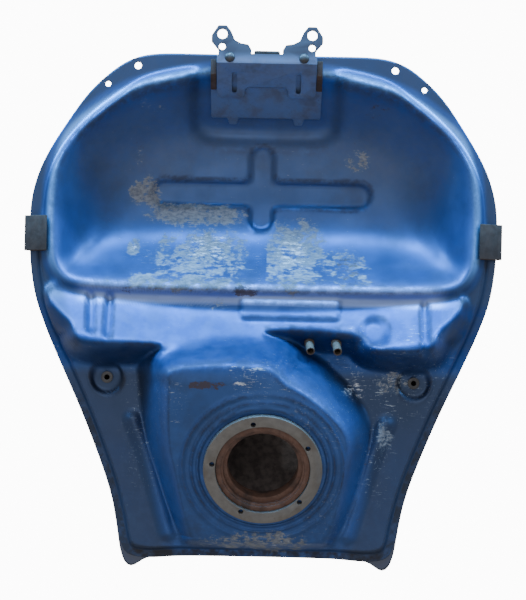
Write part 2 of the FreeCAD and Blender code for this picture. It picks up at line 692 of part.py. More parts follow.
def tube_run(y, end_y):
    at, way = tube_start(y)
    top = SEAM_Z + CROWN
    tube_shape = bent_tube([
        at + way * TUBE_STUB, at - way * 24, V(-26, y * 0.85, SEAM_Z + 75), V(4, end_y * 1.1, top - 42),
        V(FILLER_X + DRAIN_X, end_y, top - 30), V(FILLER_X + DRAIN_X, end_y, SEAT_Z - NECK_SEAT_DROP - 1),
    ], TUBE_OUTER, TUBE_INNER, 9.0)
    length = FERRULE_IN + FERRULE_OUT
    ferrule = Part.makeCylinder(FERRULE_RADIUS, length, at - way * FERRULE_IN, way)
    ferrule = ferrule.cut(Part.makeCylinder(TUBE_OUTER - 0.3, length, at - way * FERRULE_IN, way))
    return tube_shape.fuse(ferrule).Solids[0]


# ---- filler neck and cap ----
SEAT_Z = SEAM_Z + SHEET_GAP + 2 * SHEET + CROWN - SEAT_DROP  # the skin's upper side at the filler


def at_filler(shape):
    """Carries a shape drawn about the filler's axis, with heights from the seat, to its place."""
    shape.translate(V(FILLER_X, 0, SEAT_Z))
    return shape


def screw_spots():
    angles = [math.radians(a) for a in CAP_SCREW_ANGLES]
    return [(CAP_SCREW_RADIUS * math.cos(a), CAP_SCREW_RADIUS * math.sin(a)) for a in angles]


def filler_neck():
    top, low = -NECK_SEAT_DROP, -NECK_SEAT_DROP - NECK_PLATE
    steps = [
        (NECK_MOUTH, top), (NECK_RIM, top), (NECK_RIM, low), (NECK_TUBE, low), (NECK_TUBE, low - NECK_LENGTH),
        (NECK_TUBE - 1.5, low - NECK_LENGTH), (NECK_TUBE - 1.5, low), (NECK_MOUTH, low),
    ]
    holes = [cylinder_at(CAP_SCREW_SHANK, low - 1, top + 1, *spot) for spot in screw_spots()]
    holes += [cylinder_at(TUBE_OUTER + 0.02, low - 1, top + 1, DRAIN_X, y) for y in DRAIN_Y]
    return at_filler(drill(revolved(steps), holes))


def flange_gasket():
    ring = tube(50.5, 36.0, -NECK_SEAT_DROP, 0)
    return at_filler(drill(ring, [cylinder_at(TUBE_OUTER, -5, 5, DRAIN_X, y) for y in DRAIN_Y]))


def cap_flange():
    steps = [
        (CAP_FLOOR_INNER, 0), (CAP_OUTER, 0), (CAP_OUTER, CAP_RIM_TOP - 4), (CAP_OUTER - 4, CAP_RIM_TOP),
        (CAP_POCKET, CAP_RIM_TOP), (CAP_POCKET, CAP_FLOOR_TOP), (CAP_FLOOR_INNER, CAP_FLOOR_TOP),
    ]
    tools = [box(44, 66, -HINGE_ARM - 0.4, HINGE_ARM + 0.4, 3.4, 20)]
    tools += [cylinder_at(CAP_SCREW_SHANK + 0.2, -1, 20, *spot) for spot in screw_spots()]
    tools += [cylinder_at(CAP_SCREW_HEAD + 0.3, CAP_RIM_TOP - 4.6, 20, *spot) for spot in screw_spots()]
    tools.append(Part.makeCylinder(PIN_RADIUS, 36, V(HINGE_X, -18, HINGE_Z), V(0, 1, 0)))
    tools += [cylinder_at(2.0, -1, 6, DRAIN_X, y) for y in DRAIN_Y]
    return at_filler(drill(revolved(steps), tools))


def cap_screws():
    """Socket-head screws that hold the cap's flange down on the neck."""
    low = -NECK_SEAT_DROP - NECK_PLATE
    screws = []
    for x, y in screw_spots():
        screw = cylinder_at(CAP_SCREW_SHANK, low, CAP_RIM_TOP - 4.6, x, y)
        screw = screw.fuse(cylinder_at(CAP_SCREW_HEAD, CAP_RIM_TOP - 4.6, CAP_RIM_TOP - 0.2, x, y))
        screws.append(screw.cut(hexagon(4.0, x, y, CAP_RIM_TOP - 2.7, 4)).Solids[0])
    return at_filler(Part.makeCompound(screws))


def cap_lid():
    disc = cylinder_at(LID_RADIUS, LID_BOTTOM, LID_TOP)
    disc = rounded(disc, 2.0, lambda e: e.BoundBox.ZMin > LID_TOP - 0.01)
    arm = box(36, HINGE_X, -HINGE_ARM, HINGE_ARM, HINGE_Z - 2.6, HINGE_Z + 2.6)
    knuckle = Part.makeCylinder(2.9, 2 * HINGE_ARM, V(HINGE_X, -HINGE_ARM, HINGE_Z), V(0, 1, 0))
    bores = [Part.makeCylinder(PIN_RADIUS + 0.05, 36, V(HINGE_X, -18, HINGE_Z), V(0, 1, 0))]
    bores.append(cylinder_at(LOCK_BORE, 0, 20))
    bores.append(cylinder_at(1.5, 0, 20, COVER_PIVOT_X))
    return at_filler(drill(disc.fuse(arm).fuse(knuckle), bores))


def hinge_pin():
    return at_filler(Part.makeCylinder(PIN_RADIUS, 34, V(HINGE_X, -17, HINGE_Z), V(0, 1, 0)))


def cap_seal():
    return at_filler(rounded(tube(31, 24, -1.2, LID_BOTTOM), 1.0, lambda e: e.BoundBox.ZMax < -1.1))


def latch_housing():
    body = cylinder_at(PLUG_RADIUS, PLUG_BOTTOM, LID_BOTTOM)
    way = LATCH_WIDTH + 0.2
    tools = [
        box(-way, way, -30, 30, LATCH_BOTTOM - 0.2, LATCH_TOP + 0.2),
        cylinder_at(LOCK_BORE + 0.3, -11.2, 20),
    ]
    tools.append(cylinder_at(3.5, -20, -9, -14, 0))
    return at_filler(drill(body, tools))


def latch(side):
    """A sliding bolt that reaches under the neck's plate when the lock turns."""
    y0, y1 = sorted((side * 7.0, side * 21.5))
    return at_filler(box(-LATCH_WIDTH, LATCH_WIDTH, y0, y1, LATCH_BOTTOM, LATCH_TOP))


def lock_barrel():
    key = box(-0.9, 0.9, -3.6, 3.6, LID_TOP - 9, 20)
    return at_filler(cylinder_at(LOCK_ROTOR, LATCH_BOTTOM, LID_TOP - 0.3).cut(key))


def keyhole_cover():
    """A teardrop plate over the keyhole, which swivels on a rivet."""
    z = LID_TOP + 0.2
    plan = cylinder_at(8.5, z, z + COVER_THICK).fuse(cylinder_at(5.0, z, z + COVER_THICK, COVER_PIVOT_X))
    side = 8.5 - 5.0
    lean = math.sqrt(COVER_PIVOT_X ** 2 - side ** 2) / COVER_PIVOT_X
    tilt = side / COVER_PIVOT_X
    web = [(8.5 * tilt, 8.5 * lean), (COVER_PIVOT_X + 5 * tilt, 5 * lean)]
    plan = plan.fuse(plate(web + [(x, -y) for x, y in web[::-1]], z, COVER_THICK))
    return at_filler(plan.removeSplitter().cut(cylinder_at(1.55, 0, 20, COVER_PIVOT_X)).Solids[0])


def cover_rivet():
    z = LID_TOP + COVER_THICK + 0.4
    return at_filler(
        cylinder_at(1.5, LID_BOTTOM + 1, z, COVER_PIVOT_X).fuse(cylinder_at(3.0, z, z + 1, COVER_PIVOT_X)).Solids[0]
    )


def tip_over_valve():
    return at_filler(cylinder_at(3.5, -17, -9, -14, 0))


NODES = {
    "base_pan": base_pan,
    "tank_skin": tank_skin,
    "pump_flange": pump_flange,
    "pump_neck": pump_neck,
    "baffle_plate": baffle_plate,
    "bracket_base": bracket_base,
    "front_bracket": front_bracket,
    "bracket_rivets": bracket_rivets,
    "bracket_side_pads": bracket_side_pads,
    "front_edge_buffer": front_edge_buffer,
    "side_cushion_left": lambda: side_cushion("left"),
    "side_cushion_right": lambda: side_cushion("right"),
    "rivet_nut_left": lambda: rivet_nut(1),
    "rivet_nut_right": lambda: rivet_nut(-1),
    "drain_tube": lambda: tube_run(TUBE_Y[0], DRAIN_Y[0]),
    "breather_tube": lambda: tube_run(TUBE_Y[1], DRAIN_Y[1]),
    "filler_neck": filler_neck,
    "flange_gasket": flange_gasket,
    "cap_flange": cap_flange,
    "cap_screws": cap_screws,
    "cap_lid": cap_lid,
    "hinge_pin": hinge_pin,
    "cap_seal": cap_seal,
    "latch_housing": latch_housing,
    "latch_left": lambda: latch(1),
    "latch_right": lambda: latch(-1),
    "lock_barrel": lock_barrel,
    "keyhole_cover": keyhole_cover,
    "cover_rivet": cover_rivet,
    "tip_over_valve": tip_over_valve,
}


def main():
    os.makedirs("parts", exist_ok=True)
    for name, make in NODES.items():
        shape = make()
        shape.exportStep(f"parts/{name}.step")
        box_now = shape.BoundBox
        print(
            f"{name:20} valid={shape.isValid()} solids={len(shape.Solids)} volume={shape.Volume:9.0f} "
            f"x {box_now.XMin:7.1f} {box_now.XMax:7.1f} y {box_now.YMin:7.1f} {box_now.YMax:7.1f} "
            f"z {box_now.ZMin:7.1f} {box_now.ZMax:7.1f}"
        )


main()
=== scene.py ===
import math

import bmesh
import bpy
import numpy as np
from mathutils import Matrix, Vector


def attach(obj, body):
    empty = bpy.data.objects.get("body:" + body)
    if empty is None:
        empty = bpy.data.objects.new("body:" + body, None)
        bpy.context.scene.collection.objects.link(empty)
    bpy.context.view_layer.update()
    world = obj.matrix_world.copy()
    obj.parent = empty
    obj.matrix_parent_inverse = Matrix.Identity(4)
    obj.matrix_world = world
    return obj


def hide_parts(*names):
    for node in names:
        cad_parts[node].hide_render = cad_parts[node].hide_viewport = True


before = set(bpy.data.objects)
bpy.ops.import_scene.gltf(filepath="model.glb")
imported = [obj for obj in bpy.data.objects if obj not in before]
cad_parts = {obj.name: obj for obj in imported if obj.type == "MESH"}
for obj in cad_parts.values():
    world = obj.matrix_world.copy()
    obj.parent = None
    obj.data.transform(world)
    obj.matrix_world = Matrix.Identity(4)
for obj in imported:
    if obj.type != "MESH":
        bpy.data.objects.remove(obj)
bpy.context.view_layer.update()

MM = 0.001

# ---- driving dimensions, in millimetres, in the frame of the CAD model ----
SEAM_Z = 78.4
SHEET = 1.2
SHEET_GAP = 0.4
BACK_CROWDING = 1.3  # above 1, the rows of a sheet's unseen side crowd towards its outer edge
PAN_BACKING = 3.0  # extra thickness on the pan's unseen side, so that its coarser mesh clears the front one
FLANGE = 6.5
CORNER_FLANGE = 12.0
CORNER_START_X, CORNER_LENGTH = 120.0, 60.0
CORNER_Y, CORNER_SPREAD = 135.0, 65.0
REAR_RISE = 8.0
REAR_RISE_START_X, REAR_RISE_LENGTH = 20.0, 270.0

HALF_OUTLINE = [
    (236, 0), (236.5, 60), (236, 104), (231, 128), (219, 148), (197, 171), (168, 191.5), (140, 208.5),
    (116, 219), (90, 224.8), (58, 225.6), (29, 224), (0, 219), (-29, 209), (-58, 196.5), (-116, 170.5),
    (-174, 148), (-212, 137.5), (-238, 132), (-249, 124), (-252, 104), (-250, 70), (-249.5, 0),
]
HORN_TIP_X = -260.8
HORN_Y = 122.0
HORN_SPREAD = 22.0
HORN_START_X = -200.0
HORN_SHARPNESS = 1.5

BOWL_DEPTH = 52.0
BOWL_WALL = 68.0
BOWL_FILLET = 9.0
BOWL_STEEPNESS = 2.2  # the power of the wall's curve
BEAD = 12.0
BEAD_WIDTH = 12.0
HALF_RIM = [
    (219, 0), (219, 42), (212, 85), (203, 121), (189, 149), (162, 184), (132, 198), (95, 203),
    (58, 203), (30, 199), (15, 184), (11, 150), (10, 80), (10, 0),
]
BRACKET_Y = 0.0
BRACKET_HALF_WIDTH = 60.0
BRACKET_SEAT_X = 219.0
BRACKET_SEAT_SLOPE = 1.15
BRACKET_SEAT_BLEND = 20.0
BRACKET_FADE = 18.0
BRACKET_START_X, BRACKET_START_LENGTH = 150.0, 25.0
POCKET_DEPTH = 12.0
POCKET_HALF_WIDTH = 82.0
POCKET_REAR_X = 144.0
POCKET_CORNER = 34.0
POCKET_WALL = 30.0

CROSS_X, CROSS_Y = 105.0, -2.5
CROSS_HALF_LENGTH = 97.0
CROSS_HALF_WIDTH = 12.5
CROSS_FRONT_X = 140.0
CROSS_REAR_X = 80.5
CROSS_DEPTH = 5.0
CROSS_WALL = 5.0
CROSS_BLEND = 8.0
CROSS_EDGE = 1.5  # how far outside the half width the wall starts

LEDGE_TOP_X = -8.0
LEDGE_BOW = 14.0
LEDGE_DROP = 38.0
LEDGE_TERRACE = 12.0
LEDGE_END_Y = 172.0
LEDGE = [
    (16, -178), (16, 166), (-30, 162), (-42, 152), (-42, 112), (-28, 86), (-27, 4), (-50, 10),
    (-66, 14), (-66, -86), (-48, -90), (-41, -100), (-41, -162), (-28, -174),
]
LEDGE_WALL = 2.4  # height per millimetre outside the loop
LEDGE_FILLET = 6.0

SUMP_FRONT_X = -72.0
SUMP_DROP = 78.0
SUMP_TILT = 21.0
SUMP = [
    (-68, -74), (-66, 0), (-79, 23), (-90, 42), (-109, 66), (-130, 80), (-164, 79), (-198, 74),
    (-226, 64), (-230, 50), (-230, -50), (-226, -62), (-198, -70), (-164, -77), (-132, -83), (-82, -83),
]
SUMP_WALL = 2.5
BLOCK_FILLET = 5.0
BLEND = 8.0
WING_DROP = 6.0
WING_BEAD = [(-118, 122), (-150, 109), (-190, 97), (-226, 86)]
WING_BEAD_HEIGHT = 5.0
WING_BEAD_HALF_WIDTH = 8.0
BOSS_X, BOSS_Y = -77.5, 148.0
BOSS_RADIUS = 19.0
BOSS_DEPTH = 4.5
BOSS_WALL = 7.0
BOSS_HOLE = 3.3

PUMP_X, PUMP_Y = -158.0, 4.0
PAN_HOLE = 46.0
FLANGE_HOLES = [(224.0, 124.3, 3.5), (205.8, 152.8, 2.8)]
TUBE_X, TUBE_Y = -39.5, [46.0, 71.5]
FERRULE_RADIUS = 4.8
FERRULE_OVERLAP = 0.4
TUBE_WAY = (-0.45, 0.06, -0.89)

FILLER_X = 75.0
CROWN = 155.0
CROWN_FALL = 0.00088
FULLNESS, REAR_FULLNESS, FULLNESS_LENGTH = 3.4, 1.4, 200.0
DOME_POWER = 0.52
SEAT_DROP = 5.0
SEAT_RADIUS, SEAT_BLEND = 74.0, 94.0
SKIN_HOLE = 60.0
KNEE_X, KNEE_HALF_LENGTH, KNEE_DEPTH = -125.0, 120.0, 0.15

# ---- fine pressings that only this visual model has, in the same frame ----
# Radius and half width of the raised rings round the pump
PUMP_STEPS = [(61.5, 2.2), (67.5, 2.2), (76.0, 3.6)]
PUMP_STEP_HEIGHT = 1.5
PUMP_STEP_FRONT_X, PUMP_STEP_FADE = -84.0, 10.0  # the rings fade out here, before the sump's front edge
# Centre X and Y, half length and half width of the pad on the ledge's ramp
LEDGE_PAD = (-9.0, 27.0, 9.0, 47.0)
PAD_HEIGHT, PAD_WALL = 4.0, 6.0
DIMPLE = (-29.0, 107.0, 18.0, 6.0)  # X, Y, radius and depth of the round dent beside the tubes
DIMPLE_WALL = 12.0
END_GROOVES = [((-4, 156), (-46, 154)), ((-2, -164), (-30, -161)), ((-2, -146), (-34, -145))]
GROOVE_HALF_WIDTH = 6.5
GROOVE_DEPTH = 4.0
BOSS_RING = (16.5, 3.0, 1.3)  # radius, half width and height of the crisp ring round each boss
TUBE_PLATE = (-42.0, 58.0, 17.0, 31.0)  # the shallow oblong pressing that both tubes leave from
TUBE_PLATE_DEPTH, TUBE_PLATE_WALL = 0.8, 2.5
GROUND_BLEND = 3.0  # how softly the sump's front edge is held above the ground plane


# ---- small mathematics, on arrays ----
def smooth(t):
    t = np.clip(t, 0.0, 1.0)
    return t * t * (3 - 2 * t)


def bump(t):
    return smooth(1 - np.abs(t))


def soft_start(s, radius):
    s = np.maximum(s, 0.0)
    return np.sqrt(s * s + radius * radius) - radius


def soft_min(a, b, k):
    h = np.maximum(k - np.abs(a - b), 0.0) / k
    return np.minimum(a, b) - h * h * k * 0.25


def mirrored(half):
    return half + [(x, -y) for x, y in reversed(half[1:-1])]


def smooth_loop(points, per_span=8):
    p = np.array(points, float)
    p0, p1, p2, p3 = np.roll(p, 1, 0), p, np.roll(p, -1, 0), np.roll(p, -2, 0)
    spans = []
    for k in range(per_span):
        t = k / per_span
        spans.append(0.5 * (
            2 * p1 + (p2 - p0) * t
            + (2 * p0 - 5 * p1 + 4 * p2 - p3) * t * t
            + (3 * p1 - p0 - 3 * p2 + p3) * t ** 3
        ))
    return np.stack(spans, 1).reshape(-1, 2)


def evenly(loop, count):
    closed = np.vstack([loop, loop[:1]])
    steps = np.hypot(*np.diff(closed, axis=0).T)
    travelled = np.concatenate([[0], np.cumsum(steps)])
    goals = np.linspace(0, travelled[-1], count, endpoint=False)
    return np.stack([np.interp(goals, travelled, closed[:, k]) for k in (0, 1)], 1)


def segment_distance(ax, ay, bx, by, x, y):
    ex, ey = bx - ax, by - ay
    t = np.clip(((x - ax) * ex + (y - ay) * ey) / (ex * ex + ey * ey), 0.0, 1.0)
    return np.hypot(x - ax - t * ex, y - ay - t * ey)


def inside_distance(loop, x, y):
    """Distance to a closed loop, positive inside it."""
    best = np.full(x.shape, 1e9)
    inside = np.zeros(x.shape, bool)
    for (ax, ay), (bx, by) in zip(np.roll(loop, 1, 0), loop):
        best = np.minimum(best, segment_distance(ax, ay, bx, by, x, y))
        if ay != by:
            crossing = (ay > y) != (by > y)
            inside ^= crossing & (x < ax + (y - ay) * (bx - ax) / (by - ay))
    return np.where(inside, best, -best)


def path_distance(points, x, y):
    best = np.full(x.shape, 1e9)
    for (ax, ay), (bx, by) in zip(points, points[1:]):
        best = np.minimum(best, segment_distance(ax, ay, bx, by, x, y))
    return best


def soft_distance(samples, x, y):
    """Distance inside a closed loop without creases, from points evenly spaced along the loop."""
    step = math.dist(samples[0], samples[1])
    total = sum(1 / ((x - a) ** 2 + (y - b) ** 2 + 0.01) ** 2 for a, b in samples)
    return (total * step * 2 / math.pi) ** (-1 / 3)


OUTLINE = smooth_loop(mirrored(HALF_OUTLINE))
RIM = smooth_loop(mirrored(HALF_RIM), 6)
RIM_SAMPLES = evenly(RIM, 400)
LEDGE_LOOP = smooth_loop(LEDGE, 6)
SUMP_LOOP = smooth_loop(SUMP, 6)
SUMP_SLOPE = math.tan(math.radians(SUMP_TILT))


# ---- heights of the two shells, from the seam plane ----
def seam_height(x):
    return REAR_RISE * smooth((REAR_RISE_START_X - x) / REAR_RISE_LENGTH)


def sump_height(x):
    return -SUMP_DROP + (SUMP_FRONT_X - x) * SUMP_SLOPE


def ledge_height(x, y):
    drop = LEDGE_TOP_X + LEDGE_BOW * (y / LEDGE_END_Y) ** 2 - x
    return -LEDGE_TERRACE - soft_start(drop, LEDGE_FILLET) + soft_start(drop - LEDGE_DROP, LEDGE_FILLET)


def block(loop, x, y, top, wall):
    return top + wall * soft_start(-inside_distance(loop, x, y), BLOCK_FILLET)


def cross_groove(x, y):
    bar_start, bar_end = (CROSS_X, CROSS_Y - CROSS_HALF_LENGTH), (CROSS_X, CROSS_Y + CROSS_HALF_LENGTH)
    across = path_distance([bar_start, bar_end], x, y)
    along = path_distance([(CROSS_REAR_X, CROSS_Y), (CROSS_FRONT_X, CROSS_Y)], x, y)
    inward = CROSS_HALF_WIDTH + CROSS_EDGE - soft_min(across, along, CROSS_BLEND)
    return CROSS_DEPTH * smooth(inward / CROSS_WALL)


def pocket(x, y):
    across = np.abs(y) - (POCKET_HALF_WIDTH - POCKET_CORNER)
    along = POCKET_REAR_X + POCKET_CORNER - x
    outside_corner = np.hypot(np.maximum(across, 0), np.maximum(along, 0))
    beyond = outside_corner + np.minimum(np.maximum(across, along), 0)
    return POCKET_DEPTH * smooth((POCKET_CORNER - beyond) / POCKET_WALL)


def flange_width(x, y):
    at_corner = smooth((x - CORNER_START_X) / CORNER_LENGTH) * bump((np.abs(y) - CORNER_Y) / CORNER_SPREAD)
    return FLANGE + CORNER_FLANGE * at_corner


def at_bracket(x, y):
    sideways = smooth((BRACKET_HALF_WIDTH + BRACKET_FADE - np.abs(y - BRACKET_Y)) / BRACKET_FADE)
    return sideways * smooth((x - BRACKET_START_X) / BRACKET_START_LENGTH)


def bowl(x, y, inside, rim):
    inside = inside + (soft_distance(RIM_SAMPLES, x, y) - inside) * smooth((inside - 6) / 24)
    share = 1 - (1 - np.clip(soft_start(inside, BOWL_FILLET) / BOWL_WALL, 0, 1)) ** BOWL_STEEPNESS
    floor = BOWL_DEPTH + pocket(x, y)
    height = rim + (floor - rim) * share + cross_groove(x, y) * share
    seat = soft_min(np.maximum(BRACKET_SEAT_X - x, 0.0) * BRACKET_SEAT_SLOPE, floor, BRACKET_SEAT_BLEND)
    return height + (seat - height) * at_bracket(x, y)


def wing_bead(x, y):
    return WING_BEAD_HEIGHT * bump(path_distance(WING_BEAD, x, np.abs(y)) / (WING_BEAD_HALF_WIDTH * 1.5))


def boss(x, y):
    return BOSS_DEPTH * smooth((BOSS_RADIUS - np.hypot(x - BOSS_X, np.abs(y) - BOSS_Y)) / BOSS_WALL)


def pan_height(x, y):
    inside_rim = inside_distance(RIM, x, y)
    edge = inside_distance(OUTLINE, x, y)
    shelf = seam_height(x) - WING_DROP * smooth((edge - FLANGE) / 5) * smooth((90 - x) / 60)
    reach = (inside_rim + BEAD_WIDTH) / BEAD_WIDTH
    rim_bead = BEAD * (1 - at_bracket(x, y)) * smooth(reach) * smooth((edge - flange_width(x, y) - 1) / 8)
    within = smooth((edge - FLANGE - 2) / 6)
    shelf = shelf + boss(x, y) * within - np.maximum(wing_bead(x, y) * within, rim_bead)
    ledge = block(LEDGE_LOOP, x, y, ledge_height(x, y), LEDGE_WALL)
    sump = block(SUMP_LOOP, x, y, sump_height(x), SUMP_WALL)
    height = soft_min(shelf, soft_min(ledge, sump, BLEND), BLEND)
    outside = shelf + (height - shelf) * smooth((edge - FLANGE + 2) / 6)
    return np.where(inside_rim > 0, bowl(x, y, inside_rim, outside), outside)


def oblong(at, x, y, softness):
    """1 inside an upright rectangle (centre X, centre Y, half length, half width), 0 outside it."""
    centre_x, centre_y, half_length, half_width = at
    along = smooth((half_length - np.abs(x - centre_x)) / softness + 0.5)
    return along * smooth((half_width - np.abs(y - centre_y)) / softness + 0.5)


def fine_pressings(x, y):
    """Small changes of height that are pressed into the pan after its main shape."""
    from_pump = np.hypot((x - PUMP_X) / math.cos(math.radians(SUMP_TILT)), y - PUMP_Y)
    change = sum(-PUMP_STEP_HEIGHT * bump((from_pump - radius) / half) for radius, half in PUMP_STEPS)
    change = change * smooth((PUMP_STEP_FRONT_X - x) / PUMP_STEP_FADE)
    change = change - PAD_HEIGHT * oblong(LEDGE_PAD, x, y, PAD_WALL)
    dimple_x, dimple_y, radius, depth = DIMPLE
    change = change + depth * smooth((radius - np.hypot(x - dimple_x, y - dimple_y)) / DIMPLE_WALL)
    for groove in END_GROOVES:
        change = change + GROOVE_DEPTH * bump(path_distance(groove, x, y) / GROOVE_HALF_WIDTH)
    ring, half_width, ring_height = BOSS_RING
    change = change - ring_height * bump((np.hypot(x - BOSS_X, np.abs(y) - BOSS_Y) - ring) / half_width)
    return change + TUBE_PLATE_DEPTH * oblong(TUBE_PLATE, x, y, TUBE_PLATE_WALL)


def skin_height(x, y, share):
    crown = CROWN - CROWN_FALL * (x - FILLER_X) ** 2
    fullness = FULLNESS + REAR_FULLNESS * smooth(-x / FULLNESS_LENGTH)
    dome = crown * np.maximum(1 - share ** fullness, 0.0) ** DOME_POWER
    seat = smooth((SEAT_BLEND - np.hypot(x - FILLER_X, y)) / (SEAT_BLEND - SEAT_RADIUS))
    return dome + (CROWN - SEAT_DROP - dome) * seat


# ---- meshes from point grids ----
def new_object(name, vertices, faces):
    mesh = bpy.data.meshes.new(name)
    mesh.from_pydata([tuple(v) for v in vertices], [], [tuple(f) for f in faces])
    mesh.validate()
    mesh.polygons.foreach_set("use_smooth", [True] * len(mesh.polygons))
    obj = bpy.data.objects.new(name, mesh)
    bpy.context.scene.collection.objects.link(obj)
    return obj


def grid_faces(around, across, start=0, flip=False):
    i, j = np.meshgrid(np.arange(around), np.arange(across - 1), indexing="ij")
    a = start + i * across + j
    b = start + ((i + 1) % around) * across + j
    quads = np.stack([a, b, b + 1, a + 1], -1).reshape(-1, 4)
    return quads[:, ::-1] if flip else quads


def grid_normals(grid):
    u = np.roll(grid, -1, 0) - np.roll(grid, 1, 0)
    v = np.empty_like(grid)
    v[:, 1:-1] = grid[:, 2:] - grid[:, :-2]
    v[:, 0] = grid[:, 1] - grid[:, 0]
    v[:, -1] = grid[:, -1] - grid[:, -2]
    n = np.cross(u, v)
    return n / np.linalg.norm(n, axis=2, keepdims=True)


def shell_mesh(name, grid, thickness, back_rows, marks, grid_is_seen):
    """A closed sheet: the grid, a coarser copy moved along its normals, and both edges.

    marks are shares from 0 to 1 over the grid, kept as attributes for the paint to read.
    """
    around, across = grid.shape[:2]
    keep = np.unique((np.linspace(0, 1, back_rows) ** BACK_CROWDING * (across - 1)).astype(int))
    back = (grid + grid_normals(grid) * thickness)[:, keep]
    front_faces = grid_faces(around, across, flip=True)
    back_faces = grid_faces(around, len(keep), around * across)
    rims = []
    for front_j, back_j in ((0, 0), (across - 1, len(keep) - 1)):
        i = np.arange(around)
        a = i * across + front_j
        b = ((i + 1) % around) * across + front_j
        c = around * across + ((i + 1) % around) * len(keep) + back_j
        d = around * across + i * len(keep) + back_j
        quads = np.stack([a, b, c, d], -1)
        rims.append(quads if front_j == 0 else quads[:, ::-1])
    vertices = np.vstack([grid.reshape(-1, 3), back.reshape(-1, 3)]) * MM
    obj = new_object(name, vertices, np.vstack([front_faces, back_faces] + rims).tolist())
    layers = {mark: (values, values[:, keep]) for mark, values in marks.items()}
    hidden = 1 - marks["on_flange"]
    layers["unseen_side"] = (hidden * (not grid_is_seen), hidden[:, keep] * grid_is_seen)
    for mark, (front, behind) in layers.items():
        attribute = obj.data.attributes.new(mark, "FLOAT", "POINT")
        shares = np.concatenate([front.ravel(), behind.ravel()])
        attribute.data.foreach_set("value", shares.astype(np.float32))
    return obj


HOLE_REACH = 12.0  # how far along its axis a hole cuts
HOLE_MARGIN = 3.5  # how far outside a hole the sheet is divided more finely
HOLE_CUTS = 4


def punch(obj, holes):
    """Cuts round holes, each an (axis point, direction, radius) in millimetres, through a closed sheet."""
    bm = bmesh.new()
    bm.from_mesh(obj.data)
    for point, direction, radius in holes:
        at, way, r = Vector(point) * MM, Vector(direction).normalized(), radius * MM

        def off_axis(co):
            along = (co - at).dot(way)
            return (co - at - way * along).length if abs(along) < HOLE_REACH * MM else 1.0

        near = [f for f in bm.faces if off_axis(f.calc_center_median()) < r + HOLE_MARGIN * MM]
        edges = list({e for f in near for e in f.edges})
        bmesh.ops.subdivide_edges(bm, edges=edges, cuts=HOLE_CUTS, use_grid_fill=True)
        gone = [f for f in bm.faces if off_axis(f.calc_center_median()) < r]
        bmesh.ops.delete(bm, geom=gone, context="FACES")
        rim = [e for e in bm.edges if e.is_boundary]
        for vertex in {v for e in rim for v in e.verts}:
            along = way * (vertex.co - at).dot(way)
            outward = vertex.co - at - along
            vertex.co = at + along + outward.normalized() * r
        bmesh.ops.bridge_loops(bm, edges=rim)
    bm.normal_update()
    bm.to_mesh(obj.data)
    bm.free()
    return obj


def flange_holes():
    return [((x, side * y, SEAM_Z), (0, 0, 1), r) for x, y, r in FLANGE_HOLES for side in (1, -1)]


def tube_start(y):
    z = SEAM_Z + float(pan_height(np.array([TUBE_X]), np.array([y]))[0])
    return Vector((TUBE_X, y, z)), Vector(TUBE_WAY).normalized()


def spot(x, y, at, softness=0.5):
    """1 inside an oval (centre X, centre Y, half length, half width), falling to 0 past its rim."""
    centre_x, centre_y, half_length, half_width = at
    far = np.hypot((x - centre_x) / half_length, (y - centre_y) / half_width)
    return smooth((1 + softness - far) / (2 * softness))


def strongest(x, y, spots, softness=0.5):
    return np.maximum.reduce([level * spot(x, y, at, softness) for at, level in spots])


# Where the pan is worn, as (centre X, centre Y, half length, half width) with a strength
WORN = [
    ((104, -118, 17, 17), 1.0), ((84, -68, 13, 60), 1.0), ((44, -56, 34, 56), 0.80),
    ((16, -80, 12, 70), 0.88), ((44, 30, 42, 42), 0.86), ((30, 84, 28, 28), 0.70),
    ((56, -58, 12, 26), 0.90), ((186, -118, 8, 30), 0.45), ((140, 92, 13, 15), 0.78),
    ((-4, -60, 10, 60), 0.45), ((50, -128, 9, 9), 0.90), ((140, -124, 12, 8), 0.62),
    ((-232, 4, 14, 62), 0.82), ((-120, 30, 16, 40), 0.35), ((-78, 128, 14, 22), 0.66),
    ((-130, 122, 18, 12), 0.74),
]
WHITENED = [
    ((50, -52, 22, 40), 1.0), ((46, 28, 28, 24), 1.0), ((50, -128, 7, 6), 1.0),
    ((15, -82, 5, 50), 0.8), ((-78, -14, 5, 24), 1.0), ((-92, 36, 12, 12), 0.8),
    ((-30, -120, 8, 10), 0.7), ((-86, 90, 14, 16), 1.0), ((-76, 126, 12, 22), 0.85),
    ((-234, 18, 9, 40), 0.85), ((-20, -60, 30, 90), 0.45), ((4, -70, 6, 40), 0.7),
    ((-64, -14, 5, 26), 1.0),
]
SCUFFED = [
    ((-80, 130, 34, 26), 1.0), ((-96, -86, 26, 16), 0.7), ((-150, 112, 40, 18), 0.8),
    ((-74, 8, 22, 34), 0.7), ((-205, 66, 26, 26), 0.6), ((-120, -110, 60, 20), 0.5),
    ((-60, 150, 40, 30), 0.8), ((40, -50, 30, 80), 0.5), ((-60, 90, 36, 30), 0.8),
    ((-110, 60, 30, 30), 0.6),
]
RUSTED = [
    ((8, -16, 6, 15), 1.0), ((-80, -48, 5, 26), 0.9), ((32, 84, 18, 18), 0.72),
    ((158, 86, 24, 12), 0.40), ((-200, 40, 16, 40), 0.50), ((-140, 104, 30, 10), 0.45),
    ((210, 0, 8, 70), 0.5), ((-215, 98, 12, 20), 0.5), ((150, -124, 14, 10), 0.55),
    ((10, -130, 8, 16), 0.6), ((186, 105, 16, 20), 0.5), ((-196, -70, 30, 12), 0.45),
]


